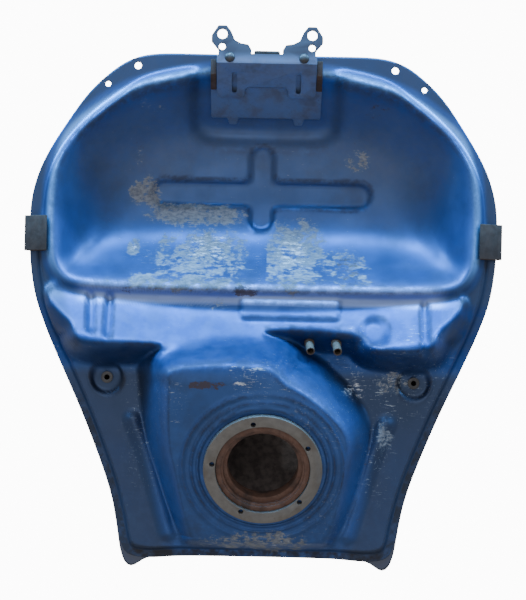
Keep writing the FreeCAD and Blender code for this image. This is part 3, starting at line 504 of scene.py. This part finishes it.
def pan_marks(x, y, height):
    """Shares of wear, scuffs, rust, dust and dirt over the pan, and of the painted light and shade on it.

    The painted shade on the lip covers the bowl's lip and the wings.
    """
    edge = inside_distance(OUTLINE, x, y)
    inside_rim = inside_distance(RIM, x, y)
    rear = smooth((-70 - x) / 40)
    clean_strip = 1 - 0.9 * smooth((9 - np.abs(y + 5)) / 4) * (x > 10)
    rows = np.gradient(height, axis=1)
    hollow = smooth((np.gradient(rows, axis=1) - 0.03) / 0.4)
    # Darker strip along the rear edge, laid with the dirt as painted shade
    rear_edge = 0.95 * rear * smooth((7.5 - edge) / 1.5)
    # Painted shade on the flat lip outside the rim bead, and on the wings beside the sump
    lip = smooth((34 - edge) / 8) * smooth((inside_rim + 8) / -6) * smooth((x + 60) / 20)
    wings = smooth((-60 - x) / 16) * smooth((-18 - inside_distance(SUMP_LOOP, x, y)) / 16)
    towards_sides = 0.7 + 0.3 * smooth((np.abs(y) - 50) / 80)
    return {
        "worn": strongest(x, y, WORN) * clean_strip,
        "whitened": strongest(x, y, WHITENED, 0.7) * clean_strip,
        "scuffed": strongest(x, y, SCUFFED),
        "rusted": np.maximum(strongest(x, y, RUSTED), 0.35 * smooth((5 - edge) / 5)),
        # Dirt blotches, laid heaviest as painted shade along the rear edge, in hollows and towards the rear
        "dirt_and_shade": np.clip(rear_edge + hollow * 0.6 + 0.25 * smooth((-90 - x) / 100), 0, 1),
        "on_flange": smooth((FLANGE - edge) / 2),
        # Painted shade: the lip and the wings are darkened
        "lip_and_wing_shade": np.maximum(lip, wings),
        "shaded": smooth((2 - x) / 10) * smooth((x + 72) / 12),
        # Painted sheen: a paler purple blue band on the flat behind the bowl's rear rim
        "terrace_sheen": smooth((x + 7) / 5) * smooth((16 - x) / 4) * smooth((182 - np.abs(y)) / 20),
        # Dust with painted light: the shaded front of the bowl and its pocket are lifted to a paler grey
        # blue
        "dust_and_painted_light": smooth(inside_rim / 22) * smooth((x - 60) / 90) * towards_sides,
        # Painted highlight along the rim bead, towards the front
        "rim_highlight": bump((inside_rim + 2) / 6) * smooth((x - 10) / 40),
    }


def base_pan():
    around, across = ((350, 162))
    outer = evenly(OUTLINE, around)
    angle = np.arctan2(outer[:, 1] - PUMP_Y, outer[:, 0] - PUMP_X)
    hole = np.stack([
        PUMP_X + PAN_HOLE * np.cos(angle) * math.cos(math.radians(SUMP_TILT)),
        PUMP_Y + PAN_HOLE * np.sin(angle),
    ], 1)
    t = np.linspace(0, 1, across)[None, :, None]
    plan = outer[:, None] * (1 - t) + hole[:, None] * t
    x, y = plan[..., 0], plan[..., 1]
    inward = inside_distance(OUTLINE, x, y)
    height = pan_height(x, y) + fine_pressings(x, y) * smooth((inward - FLANGE) / 6)
    height = -soft_min(-height, SEAM_Z, GROUND_BLEND)
    grid = np.stack([x, y, SEAM_Z + height], -1)
    thickness = SHEET + PAN_BACKING * smooth((inward - 10) / 20)
    marks = pan_marks(x, y, height)
    pan = shell_mesh("base_pan_shell", grid, thickness[..., None], across * 9 // 16, marks, True)
    holes = flange_holes()
    holes += [((BOSS_X, side * BOSS_Y, SEAM_Z), (0, 0, 1), BOSS_HOLE) for side in (1, -1)]
    holes += [(*tube_start(tube_y), FERRULE_RADIUS - FERRULE_OVERLAP) for tube_y in TUBE_Y]
    return punch(pan, holes)


def tank_skin():
    around, across = ((400, 104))
    outer = evenly(OUTLINE, around)
    x, y = outer[:, 0], outer[:, 1]
    horn = np.where(x < HORN_START_X, bump((np.abs(y) - HORN_Y) / HORN_SPREAD), 0.0) ** HORN_SHARPNESS
    edge = np.stack([x + (HORN_TIP_X - x) * horn, y], 1)
    reach = np.hypot(x - FILLER_X, y)
    width = flange_width(x, y) / reach
    foot_xy = np.stack([x - (x - FILLER_X) * width, y - y * width], 1)
    angle = np.arctan2(foot_xy[:, 1], foot_xy[:, 0] - FILLER_X)
    foot = np.hypot(foot_xy[:, 0] - FILLER_X, foot_xy[:, 1])
    rows = [edge + (foot_xy - edge) * t for t in np.linspace(0, 0.85, 6)]
    columns = [np.concatenate([row, np.zeros((around, 1))], 1) for row in rows]
    for t in np.linspace(0, 1, across - len(rows)):
        share = 1 - (1 - SKIN_HOLE / foot) * (1 - math.cos(math.pi / 2 * t)) ** 0.9
        px = FILLER_X + np.cos(angle) * foot * share
        py = np.sin(angle) * foot * share
        height = skin_height(px, py, share)
        knee = bump((px - KNEE_X) / KNEE_HALF_LENGTH)
        py = py * (1 - KNEE_DEPTH * knee * np.sin(math.pi * np.clip(height / CROWN, 0, 1) ** 0.75))
        columns.append(np.stack([px, py, height * (1 - seam_height(px) / CROWN)], 1))
    grid = np.stack(columns, 1)
    grid[..., 2] += SEAM_Z + SHEET + SHEET_GAP + seam_height(grid[..., 0])
    flange = np.zeros(grid.shape[:2])
    flange[:, :len(rows)] = 1.0
    skin = shell_mesh("tank_skin_shell", grid, SHEET, across, {"on_flange": flange}, False)
    return punch(skin, flange_holes())


# ---- materials ----
PAINT_METALLIC = 0.78
DIRT_ROUGHNESS = 0.85

# Layers over the pan's paint, in the order in which they are laid
# Grey of the paint's film, also laid on the lip and wings as painted shade
FILM_AND_SHADE_GREY = (0.036, 0.046, 0.066)
# Pale grey blue of the dust, also painting light into the bowl's shaded front
DUST_AND_LIGHT_GREY = (0.088, 0.112, 0.170)
SHADED_BLUE = (0.012, 0.040, 0.150)
# Pale purple blue of the painted sheen behind the bowl's rear rim
TERRACE_SHEEN_BLUE = (0.22, 0.31, 0.60)
# Light blue of the painted highlight on the rim bead
RIM_HIGHLIGHT_BLUE = (0.16, 0.36, 0.70)
DULLED_BLUE = (0.10, 0.16, 0.25)
DARK_PRIMER, LIGHT_PRIMER = (0.105, 0.115, 0.135), (0.22, 0.23, 0.25)
WHITE_RESIDUE = (0.60, 0.62, 0.66)
SCUFF_GREY = (0.34, 0.40, 0.47)
RUST_BROWN = (0.060, 0.040, 0.030)
# Near black of the dirt, also painting shade along the rear edge, in hollows and towards the rear
DIRT_AND_SHADE_BLACK = (0.022, 0.020, 0.022)

FLANGE_BLACK = (0.022, 0.030, 0.050)
PALE_FLAKE, DARK_FLAKE = (0.30, 0.25, 0.24), (0.16, 0.13, 0.13)


class Nodes:
    """Adds nodes to one material."""

    def __init__(self, name):
        self.material = bpy.data.materials.new(name)
        self.material.use_nodes = True
        self.tree = self.material.node_tree
        self.shader = self.tree.nodes["Principled BSDF"]
        self.place = self.add("ShaderNodeTexCoord").outputs["Object"]

    def add(self, kind, **settings):
        node = self.tree.nodes.new(kind)
        for key, value in settings.items():
            setattr(node, key, value)
        return node

    def link(self, output, socket):
        self.tree.links.new(output, socket)

    def feed(self, socket, value):
        if isinstance(value, bpy.types.NodeSocket):
            self.link(value, socket)
        else:
            socket.default_value = value

    def math(self, operation, a, b):
        node = self.add("ShaderNodeMath", operation=operation)
        self.feed(node.inputs[0], a)
        self.feed(node.inputs[1], b)
        return node.outputs[0]

    def noise(self, size_mm, detail=4.0, roughness=0.55, stretch=(1, 1, 1), offset=0.0):
        mapping = self.add("ShaderNodeMapping")
        mapping.inputs["Scale"].default_value = stretch
        mapping.inputs["Location"].default_value = (offset, offset * 0.7, offset * 1.3)
        self.link(self.place, mapping.inputs["Vector"])
        noise = self.add("ShaderNodeTexNoise")
        self.link(mapping.outputs[0], noise.inputs["Vector"])
        noise.inputs["Scale"].default_value = 1 / (size_mm * MM)
        noise.inputs["Detail"].default_value = detail
        noise.inputs["Roughness"].default_value = roughness
        return noise.outputs["Fac"]

    def ramp(self, value, low, high):
        """0 below low, 1 above high."""
        node = self.add("ShaderNodeMapRange", interpolation_type="SMOOTHSTEP")
        self.link(value, node.inputs["Value"])
        node.inputs["From Min"].default_value = low
        node.inputs["From Max"].default_value = high
        return node.outputs["Result"]

    def attribute(self, name):
        return self.add("ShaderNodeAttribute", attribute_name=name).outputs["Fac"]

    def mix(self, share, a, b):
        node = self.add("ShaderNodeMix", data_type="RGBA")
        self.feed(node.inputs["Factor"], share)
        self.feed(node.inputs[6], a if isinstance(a, bpy.types.NodeSocket) else (*a, 1))
        self.feed(node.inputs[7], b if isinstance(b, bpy.types.NodeSocket) else (*b, 1))
        return node.outputs[2]

    def blend(self, share, a, b):
        """A number that goes from a to b."""
        node = self.add("ShaderNodeMix", data_type="FLOAT")
        self.feed(node.inputs["Factor"], share)
        self.feed(node.inputs[2], a)
        self.feed(node.inputs[3], b)
        return node.outputs[0]

    def bump(self, height, depth_mm, normal=None):
        node = self.add("ShaderNodeBump")
        node.inputs["Distance"].default_value = depth_mm * MM
        self.link(height, node.inputs["Height"])
        if normal is not None:
            self.link(normal, node.inputs["Normal"])
        return node.outputs["Normal"]

    def set(self, **values):
        for name, value in values.items():
            self.feed(self.shader.inputs[name.replace("_", " ").title()], value)


def finish_material(
    name, colour, metallic, roughness, grain_mm, grain_depth,
    dirt_with_shade=(0.02, 0.018, 0.015), dirt_share=0.4, painted_shade_from=None,
):
    """A plain finish with blotchy dirt, uneven gloss and fine grain.

    The last argument is an X in millimetres, ahead of which the dirt colour is laid heavily as painted
    shade.
    """
    n = Nodes(name)
    blotch = n.math("MULTIPLY", n.ramp(n.noise(18, 5), 0.42, 0.7), dirt_share)
    speck = n.math("MULTIPLY", n.ramp(n.noise(2.2, 4, offset=7), 0.6, 0.72), dirt_share * 0.8)
    dirt_and_shade = n.math("MAXIMUM", blotch, speck)
    if painted_shade_from is not None:
        split = n.add("ShaderNodeSeparateXYZ")
        n.link(n.place, split.inputs[0])
        # Painted shade: ahead of the given X the dirt colour is laid heavily
        ahead = n.ramp(split.outputs["X"], painted_shade_from * MM, (painted_shade_from + 10) * MM)
        dirt_and_shade = n.math("MAXIMUM", dirt_and_shade, n.math("MULTIPLY", ahead, 0.85))
    gloss = n.ramp(n.noise(6, 4, offset=3), 0.3, 0.7)
    clean_gloss = n.blend(gloss, roughness * 0.8, min(roughness * 1.25, 1.0))
    n.set(
        base_color=n.mix(dirt_and_shade, colour, dirt_with_shade),
        roughness=n.blend(dirt_and_shade, clean_gloss, DIRT_ROUGHNESS),
        normal=n.bump(n.noise(grain_mm, 3), grain_depth),
    )
    if metallic > 0:
        n.set(metallic=n.blend(dirt_and_shade, metallic, 0.0))
    return n.material


def worn_paint(n, colour, cloud, rough, height):
    """The pan's layers, laid over its colour in order: film with painted shade, dust with painted light,
    painted shade, sheen and highlight, primer, scuffs, rust, and dirt with painted shade.
    """
    patch = n.noise(16, 9, 0.68)
    speckle = n.noise(2.6, 6, 0.75, stretch=(1.0, 0.45, 1.0), offset=2)
    flecks = n.noise(3.4, 8, 0.8, stretch=(1.0, 0.3, 1.0), offset=21)
    grime = n.noise(9, 7, 0.65, offset=9)
    reach = n.math("ADD", n.math("MULTIPLY", patch, 1.1), n.math("MULTIPLY", speckle, 0.75))
    wear = n.math("ADD", n.math("MULTIPLY", n.attribute("worn"), 0.55), reach)
    primer = n.math("MULTIPLY", n.ramp(wear, 1.30, 1.42), 0.85)
    dulled = n.ramp(wear, 1.20, 1.48)
    fleck_reach = n.math("MULTIPLY", flecks, 1.3)
    whiteness = n.math("ADD", n.math("MULTIPLY", n.attribute("whitened"), 0.5), fleck_reach)
    white = n.math("MULTIPLY", n.ramp(whiteness, 1.15, 1.27), 0.85)
    streak = n.noise(1.6, 4, 0.7, stretch=(1.0, 0.16, 1.0), offset=4)
    cross = n.noise(1.4, 4, 0.7, stretch=(0.3, 1.0, 1.0), offset=6)
    lines = n.math("MAXIMUM", n.ramp(streak, 0.60, 0.68), n.ramp(cross, 0.63, 0.70))
    scuff = n.math("MULTIPLY", lines, n.attribute("scuffed"))
    scuff = n.math("MULTIPLY", scuff, n.ramp(patch, 0.38, 0.55))
    faint = n.math("MULTIPLY", n.ramp(streak, 0.66, 0.74), n.ramp(grime, 0.5, 0.62))
    corrosion = n.math("ADD", n.math("MULTIPLY", grime, 1.1), n.math("MULTIPLY", speckle, 0.7))
    rust = n.ramp(n.math("ADD", n.math("MULTIPLY", n.attribute("rusted"), 0.55), corrosion), 1.28, 1.42)
    pinprick = n.ramp(n.noise(1.1, 2, offset=11), 0.76, 0.80)
    # Dirt with painted shade: darker, rougher blotches along the rear edge, in hollows and towards the rear
    dirt_with_shade = n.math("MULTIPLY", n.attribute("dirt_and_shade"), n.ramp(grime, 0.30, 0.60))

    film = n.math("MULTIPLY", n.ramp(n.noise(38, 6, 0.6, offset=14), 0.42, 0.72), 0.38)
    # Painted shade on the lip and wings, laid with the film's grey
    lip = n.math("MULTIPLY", n.attribute("lip_and_wing_shade"), 0.78)
    colour = n.mix(n.math("MAXIMUM", film, lip), colour, FILM_AND_SHADE_GREY)
    # Dust with painted light, lifting the shaded front of the bowl
    dust_and_light = n.math("MULTIPLY", n.attribute("dust_and_painted_light"), n.blend(n.ramp(grime, 0.3, 0.7), 0.45, 0.60))
    colour = n.mix(dust_and_light, colour, DUST_AND_LIGHT_GREY)
    mottle = n.blend(n.ramp(n.noise(15, 4, 0.6, offset=17), 0.36, 0.66), 0.35, 0.80)
    # Painted shade on the ledge, mottled
    colour = n.mix(n.math("MULTIPLY", n.attribute("shaded"), mottle), colour, SHADED_BLUE)
    # Painted sheen on the flat behind the bowl's rear rim
    colour = n.mix(n.math("MULTIPLY", n.attribute("terrace_sheen"), 0.75), colour, TERRACE_SHEEN_BLUE)
    # Painted highlight on the rim bead, varied by the cloud noise
    rim_highlight = n.math("MULTIPLY", n.attribute("rim_highlight"), n.blend(cloud, 0.75, 0.95))
    colour = n.mix(rim_highlight, colour, RIM_HIGHLIGHT_BLUE)
    colour = n.mix(n.math("MULTIPLY", dulled, 0.45), colour, DULLED_BLUE)
    primer_grey = n.mix(n.ramp(speckle, 0.38, 0.62), DARK_PRIMER, LIGHT_PRIMER)
    colour = n.mix(primer, colour, primer_grey)
    colour = n.mix(white, colour, WHITE_RESIDUE)
    colour = n.mix(n.math("MAXIMUM", scuff, n.math("MULTIPLY", faint, 0.6)), colour, SCUFF_GREY)
    rust_spots = n.math("MAXIMUM", rust, n.math("MULTIPLY", pinprick, 0.7))
    colour = n.mix(n.math("MULTIPLY", rust_spots, 0.8), colour, RUST_BROWN)
    # Dirt and painted shade, in near black
    colour = n.mix(n.math("MULTIPLY", dirt_with_shade, 0.85), colour, DIRT_AND_SHADE_BLACK)

    bare = n.math("MAXIMUM", n.math("MAXIMUM", primer, white), n.math("MAXIMUM", rust, dirt_with_shade))
    metal = n.blend(bare, n.blend(dust_and_light, PAINT_METALLIC, 0.1), 0.12)
    rough = n.blend(bare, n.blend(film, rough, 0.55), 0.68)
    chipped = n.math("MULTIPLY", n.math("MAXIMUM", primer, rust), 0.9)
    return colour, metal, rough, n.math("SUBTRACT", height, chipped)


def shell_paint(name, dark, light, roughness, worn):
    """Metallic blue paint, with flaking rust on the sheet's unseen side."""
    n = Nodes(name)
    tone = n.ramp(n.noise(70, 3), 0.3, 0.7)
    cloud = n.ramp(n.noise(22, 6, 0.6, offset=5), 0.35, 0.75)
    colour = n.mix(tone, dark, light)
    rough = n.blend(cloud, roughness * 0.88, roughness * 1.15)
    height = n.math("MULTIPLY", n.noise(3.5, 2), 0.25)
    if worn:
        colour, metal, rough, height = worn_paint(n, colour, cloud, rough, height)
        ripple_depth, grain_depth = 0.06, 0.015
        coat, coat_roughness, specular = 0.03, 0.30, 0.15
    else:
        metal = PAINT_METALLIC
        flange_shadow = n.math("MULTIPLY", n.attribute("on_flange"), 0.93)
        colour = n.mix(flange_shadow, colour, FLANGE_BLACK)
        ripple_depth, grain_depth = 0.015, 0.004
        coat, coat_roughness, specular = 0.6, 0.08, 0.5
    inside = n.attribute("unseen_side")
    flake_rust = n.mix(n.ramp(n.noise(7, 6), 0.35, 0.65), PALE_FLAKE, DARK_FLAKE)
    n.set(
        base_color=n.mix(inside, colour, flake_rust),
        metallic=n.blend(inside, metal, 0.2),
        roughness=n.blend(inside, rough, 0.75),
        normal=n.bump(height, ripple_depth, n.bump(n.noise(0.45, 2), grain_depth)),
        coat_weight=coat,
        coat_roughness=coat_roughness,
    )
    n.shader.inputs["Specular IOR Level"].default_value = specular
    return n.material


def assign(obj, material):
    obj.data.materials.clear()
    obj.data.materials.append(material)


# How a CAD piece's mesh is cleaned and rounded, with angles in degrees
MERGE_MM = 0.004
FLAT_ANGLE = 0.6  # under this, neighbouring triangles become one face
ROUNDED_ANGLE = 32.0  # over this, an edge is rounded
CRISP_ANGLE = 38.0  # over this, shading isn't smoothed across an edge


def softened(node, width):
    """A copy of a CAD piece with its sharp edges rounded by a small width in millimetres."""
    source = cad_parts[node]
    bm = bmesh.new()
    bm.from_mesh(source.data)
    bm.transform(source.matrix_world)
    bmesh.ops.remove_doubles(bm, verts=bm.verts, dist=MERGE_MM * MM)
    flat = math.radians(FLAT_ANGLE)
    bmesh.ops.dissolve_limit(bm, angle_limit=flat, verts=bm.verts, edges=bm.edges)
    turn = math.radians(ROUNDED_ANGLE)
    sharp = [e for e in bm.edges if len(e.link_faces) == 2 and e.calc_face_angle() > turn]
    bmesh.ops.bevel(
        bm, geom=sharp, offset=width * MM, offset_type="OFFSET", segments=2, profile=0.6, affect="EDGES",
        clamp_overlap=True, harden_normals=False,
    )
    bm.normal_update()
    mesh = bpy.data.meshes.new(f"{node}_soft")
    bm.to_mesh(mesh)
    bm.free()
    mesh.polygons.foreach_set("use_smooth", [True] * len(mesh.polygons))
    mesh.set_sharp_from_angle(angle=math.radians(CRISP_ANGLE))
    obj = bpy.data.objects.new(f"{node}_soft", mesh)
    bpy.context.scene.collection.objects.link(obj)
    return obj


# ---- camera, floor and lights ----
VIEW_HEIGHT = 579.6  # millimetres of the seam plane that the picture's height takes in
VIEW_CENTRE_Y = 1.0
CAMERA_DISTANCE = 1600.0
CAMERA_ROLL = 1.2  # degrees
SENSOR_HEIGHT = 24.0
FLOOR_SIZE = 6.0  # metres

WHITE, WARM, SKY = (1.0, 1.0, 1.0), (1.0, 0.92, 0.86), (0.20, 0.55, 1.0)
WORLD_LIGHT, WORLD_SEEN = 0.56, 12.0  # the world's strength as light, and as the camera sees it

# Each area light's name, place, target and size in metres, power in watts, and colour
LIGHTS = [
    ("front_below", (3.2, -0.2, -1.0), (0.0, 0.0, 0.08), (4.0, 1.2), 700.0, SKY),
    ("side_1", (2.2, 2.6, -0.32), (0.1, 0.0, 0.08), (1.4, 0.45), 190.0, SKY),
    ("side_-1", (2.2, -2.6, -0.32), (0.1, 0.0, 0.08), (1.4, 0.45), 190.0, SKY),
    ("camera_fill", (0.7, -0.1, -1.9), (0.0, 0.0, 0.08), (1.4, 1.4), 9.0, WHITE),
    ("rear_fill", (-1.0, -0.2, -1.7), (0.1, 0.0, 0.08), (1.4, 1.4), 5.0, WARM),
    ("above", (-0.3, 0.0, 2.2), (0.0, 0.0, 0.1), (1.8, 1.8), 40.0, WHITE),
    ("inside", (-0.10, 0.05, 0.14), (-0.10, 0.05, 0.3), (0.05, 0.05), 0.0035, WHITE),
]


def make_camera():
    data = bpy.data.cameras.new("camera")
    data.sensor_fit = "VERTICAL"
    data.sensor_height = SENSOR_HEIGHT
    data.lens = SENSOR_HEIGHT * CAMERA_DISTANCE / VIEW_HEIGHT
    camera = bpy.data.objects.new("camera", data)
    roll = math.radians(CAMERA_ROLL)
    up = Vector((math.cos(roll), -math.sin(roll), 0.0))
    ahead = Vector((0, 0, 1))
    right = ahead.cross(up)
    basis = Matrix((right, up, -ahead)).transposed()
    centre = Vector((0.0, VIEW_CENTRE_Y, SEAM_Z)) * MM
    camera.matrix_world = Matrix.Translation(centre - ahead * CAMERA_DISTANCE * MM) @ basis.to_4x4()
    bpy.context.scene.collection.objects.link(camera)
    bpy.context.scene.camera = camera


def make_floor():
    """A floor that is solid from above and clear from below, where the camera is."""
    bpy.ops.mesh.primitive_plane_add(size=FLOOR_SIZE, location=(0, 0, 0))
    floor = bpy.context.object
    floor.name = "floor"
    material = bpy.data.materials.new("floor")
    material.use_nodes = True
    nodes, links = material.node_tree.nodes, material.node_tree.links
    shader = nodes["Principled BSDF"]
    shader.inputs["Base Color"].default_value = (0.82, 0.82, 0.82, 1)
    shader.inputs["Roughness"].default_value = 0.9
    clear = nodes.new("ShaderNodeBsdfTransparent")
    pick = nodes.new("ShaderNodeMixShader")
    links.new(nodes.new("ShaderNodeNewGeometry").outputs["Backfacing"], pick.inputs[0])
    links.new(shader.outputs[0], pick.inputs[1])
    links.new(clear.outputs[0], pick.inputs[2])
    links.new(pick.outputs[0], nodes["Material Output"].inputs["Surface"])
    floor.data.materials.append(material)
    floor.visible_shadow = False
    floor.visible_diffuse = False
    floor.visible_glossy = False
    floor.visible_transmission = False


def area_light(name, at, target, size, power, colour):
    data = bpy.data.lights.new(name, "AREA")
    data.shape = "RECTANGLE"
    data.size, data.size_y = size
    data.energy = power
    data.color = colour
    light = bpy.data.objects.new(name, data)
    light.location = at
    light.rotation_euler = (Vector(target) - Vector(at)).to_track_quat("-Z", "Y").to_euler()
    bpy.context.scene.collection.objects.link(light)


def make_lights():
    for row in LIGHTS:
        area_light(*row)
    world = bpy.data.worlds.new("world")
    world.use_nodes = True
    nodes, links = world.node_tree.nodes, world.node_tree.links
    background = nodes["Background"]
    background.inputs["Color"].default_value = (1, 1, 1, 1)
    path = nodes.new("ShaderNodeLightPath")
    strength = nodes.new("ShaderNodeMix")
    strength.data_type = "FLOAT"
    strength.inputs[2].default_value = WORLD_LIGHT
    strength.inputs[3].default_value = WORLD_SEEN
    links.new(path.outputs["Is Camera Ray"], strength.inputs[0])
    links.new(strength.outputs[0], background.inputs["Strength"])
    bpy.context.scene.world = world


# Each finish's name, colour, metallic, roughness, grain's size and depth in millimetres, and where they are
# given, its dirt's colour, the dirt's share, and the X ahead of which that colour is laid as painted shade
FINISHES = {
    "bare_steel": (
        "bare steel", (0.145, 0.138, 0.130), 0.6, 0.55, 0.7, 0.05, (0.075, 0.055, 0.040), 0.6,
    ),
    "rusty_steel": (
        "rusted steel", (0.115, 0.062, 0.046), 0.25, 0.74, 1.6, 0.25, (0.020, 0.014, 0.013), 0.9,
    ),
    "zinc_steel": ("zinc plated steel", (0.42, 0.42, 0.40), 0.9, 0.35, 0.8, 0.02),
    # Painted shade on the bracket's ears, ahead of X 228 mm
    "dark_paint": (
        "dulled blue paint", (0.10, 0.14, 0.24), 0.5, 0.40, 2.5, 0.05, (0.028, 0.022, 0.027), 0.5, 228,
    ),
    "old_rubber": (
        "aged rubber", (0.040, 0.022, 0.016), 0.0, 0.8, 1.2, 0.15, (0.013, 0.009, 0.008), 0.8,
    ),
    "black_rubber": (
        "black rubber", (0.021, 0.0105, 0.0065), 0.0, 0.9, 1.5, 0.10, (0.050, 0.027, 0.018), 0.6,
    ),
    "dark_steel": ("oiled steel", (0.060, 0.060, 0.064), 0.8, 0.42, 0.8, 0.03),
    "tube_steel": (
        "tarnished tube", (0.085, 0.064, 0.048), 0.4, 0.55, 1.0, 0.04, (0.045, 0.030, 0.022), 0.7,
    ),
    "cap_aluminium": (
        "satin aluminium", (0.50, 0.51, 0.52), 0.95, 0.32, 0.35, 0.010, (0.12, 0.12, 0.12), 0.25,
    ),
    "black_steel": ("black oxide steel", (0.028, 0.028, 0.030), 0.6, 0.42, 0.6, 0.02),
    "black_plastic": ("black plastic", (0.026, 0.026, 0.027), 0.0, 0.5, 0.5, 0.03),
    "brass_lock": ("worn brass", (0.46, 0.32, 0.13), 0.95, 0.36, 0.6, 0.02, (0.10, 0.07, 0.03), 0.4),
}
PAN_PAINT = ("worn metallic blue", (0.034, 0.074, 0.205), (0.042, 0.094, 0.265), 0.44, True)
SKIN_PAINT = ("glossy metallic blue", (0.020, 0.070, 0.24), (0.024, 0.085, 0.29), 0.30, False)
MATERIALS = {"pan_paint": shell_paint(*PAN_PAINT), "skin_paint": shell_paint(*SKIN_PAINT)}
for finish, values in FINISHES.items():
    MATERIALS[finish] = finish_material(*values)

# Every CAD piece that gets rounded edges: its body, its material and the rounding in millimetres
PIECES = {
    "pump_flange": ("tank", "bare_steel", 0.25),
    "pump_neck": ("tank", "rusty_steel", 0.5),
    "baffle_plate": ("tank", "zinc_steel", 0.2),
    "bracket_base": ("tank", "dark_paint", 0.6),
    "front_bracket": ("tank", "dark_paint", 0.8),
    "bracket_rivets": ("tank", "dark_steel", 0.3),
    "bracket_side_pads": ("tank", "old_rubber", 0.8),
    "front_edge_buffer": ("tank", "black_rubber", 0.5),
    "side_cushion_left": ("tank", "black_rubber", 1.0),
    "side_cushion_right": ("tank", "black_rubber", 1.0),
    "rivet_nut_left": ("tank", "dark_steel", 0.2),
    "rivet_nut_right": ("tank", "dark_steel", 0.2),
    "drain_tube": ("tank", "tube_steel", 0.2),
    "breather_tube": ("tank", "tube_steel", 0.2),
    "filler_neck": ("tank", "zinc_steel", 0.4),
    "flange_gasket": ("tank", "black_rubber", 0.2),
    "cap_flange": ("tank", "cap_aluminium", 0.4),
    "cap_screws": ("tank", "black_steel", 0.3),
    "hinge_pin": ("tank", "dark_steel", 0.2),
    "cap_lid": ("lid", "cap_aluminium", 0.4),
    "cap_seal": ("lid", "black_rubber", 0.2),
    "latch_housing": ("lid", "black_plastic", 0.4),
    "tip_over_valve": ("lid", "brass_lock", 0.3),
    "cover_rivet": ("lid", "dark_steel", 0.3),
    "latch_left": ("latch_left", "zinc_steel", 0.3),
    "latch_right": ("latch_right", "zinc_steel", 0.3),
    "lock_barrel": ("lock", "brass_lock", 0.2),
    "keyhole_cover": ("keyhole_cover", "cap_aluminium", 0.3),
}


def show(obj, node, body, material):
    """Puts a finished piece in place of a CAD piece."""
    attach(obj, body)
    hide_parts(node)
    assign(obj, MATERIALS[material])


make_camera()
make_floor()
make_lights()
show(base_pan(), "base_pan", "tank", "pan_paint")
show(tank_skin(), "tank_skin", "tank", "skin_paint")
for node, (body, material, width) in PIECES.items():
    show(softened(node, width), node, body, material)
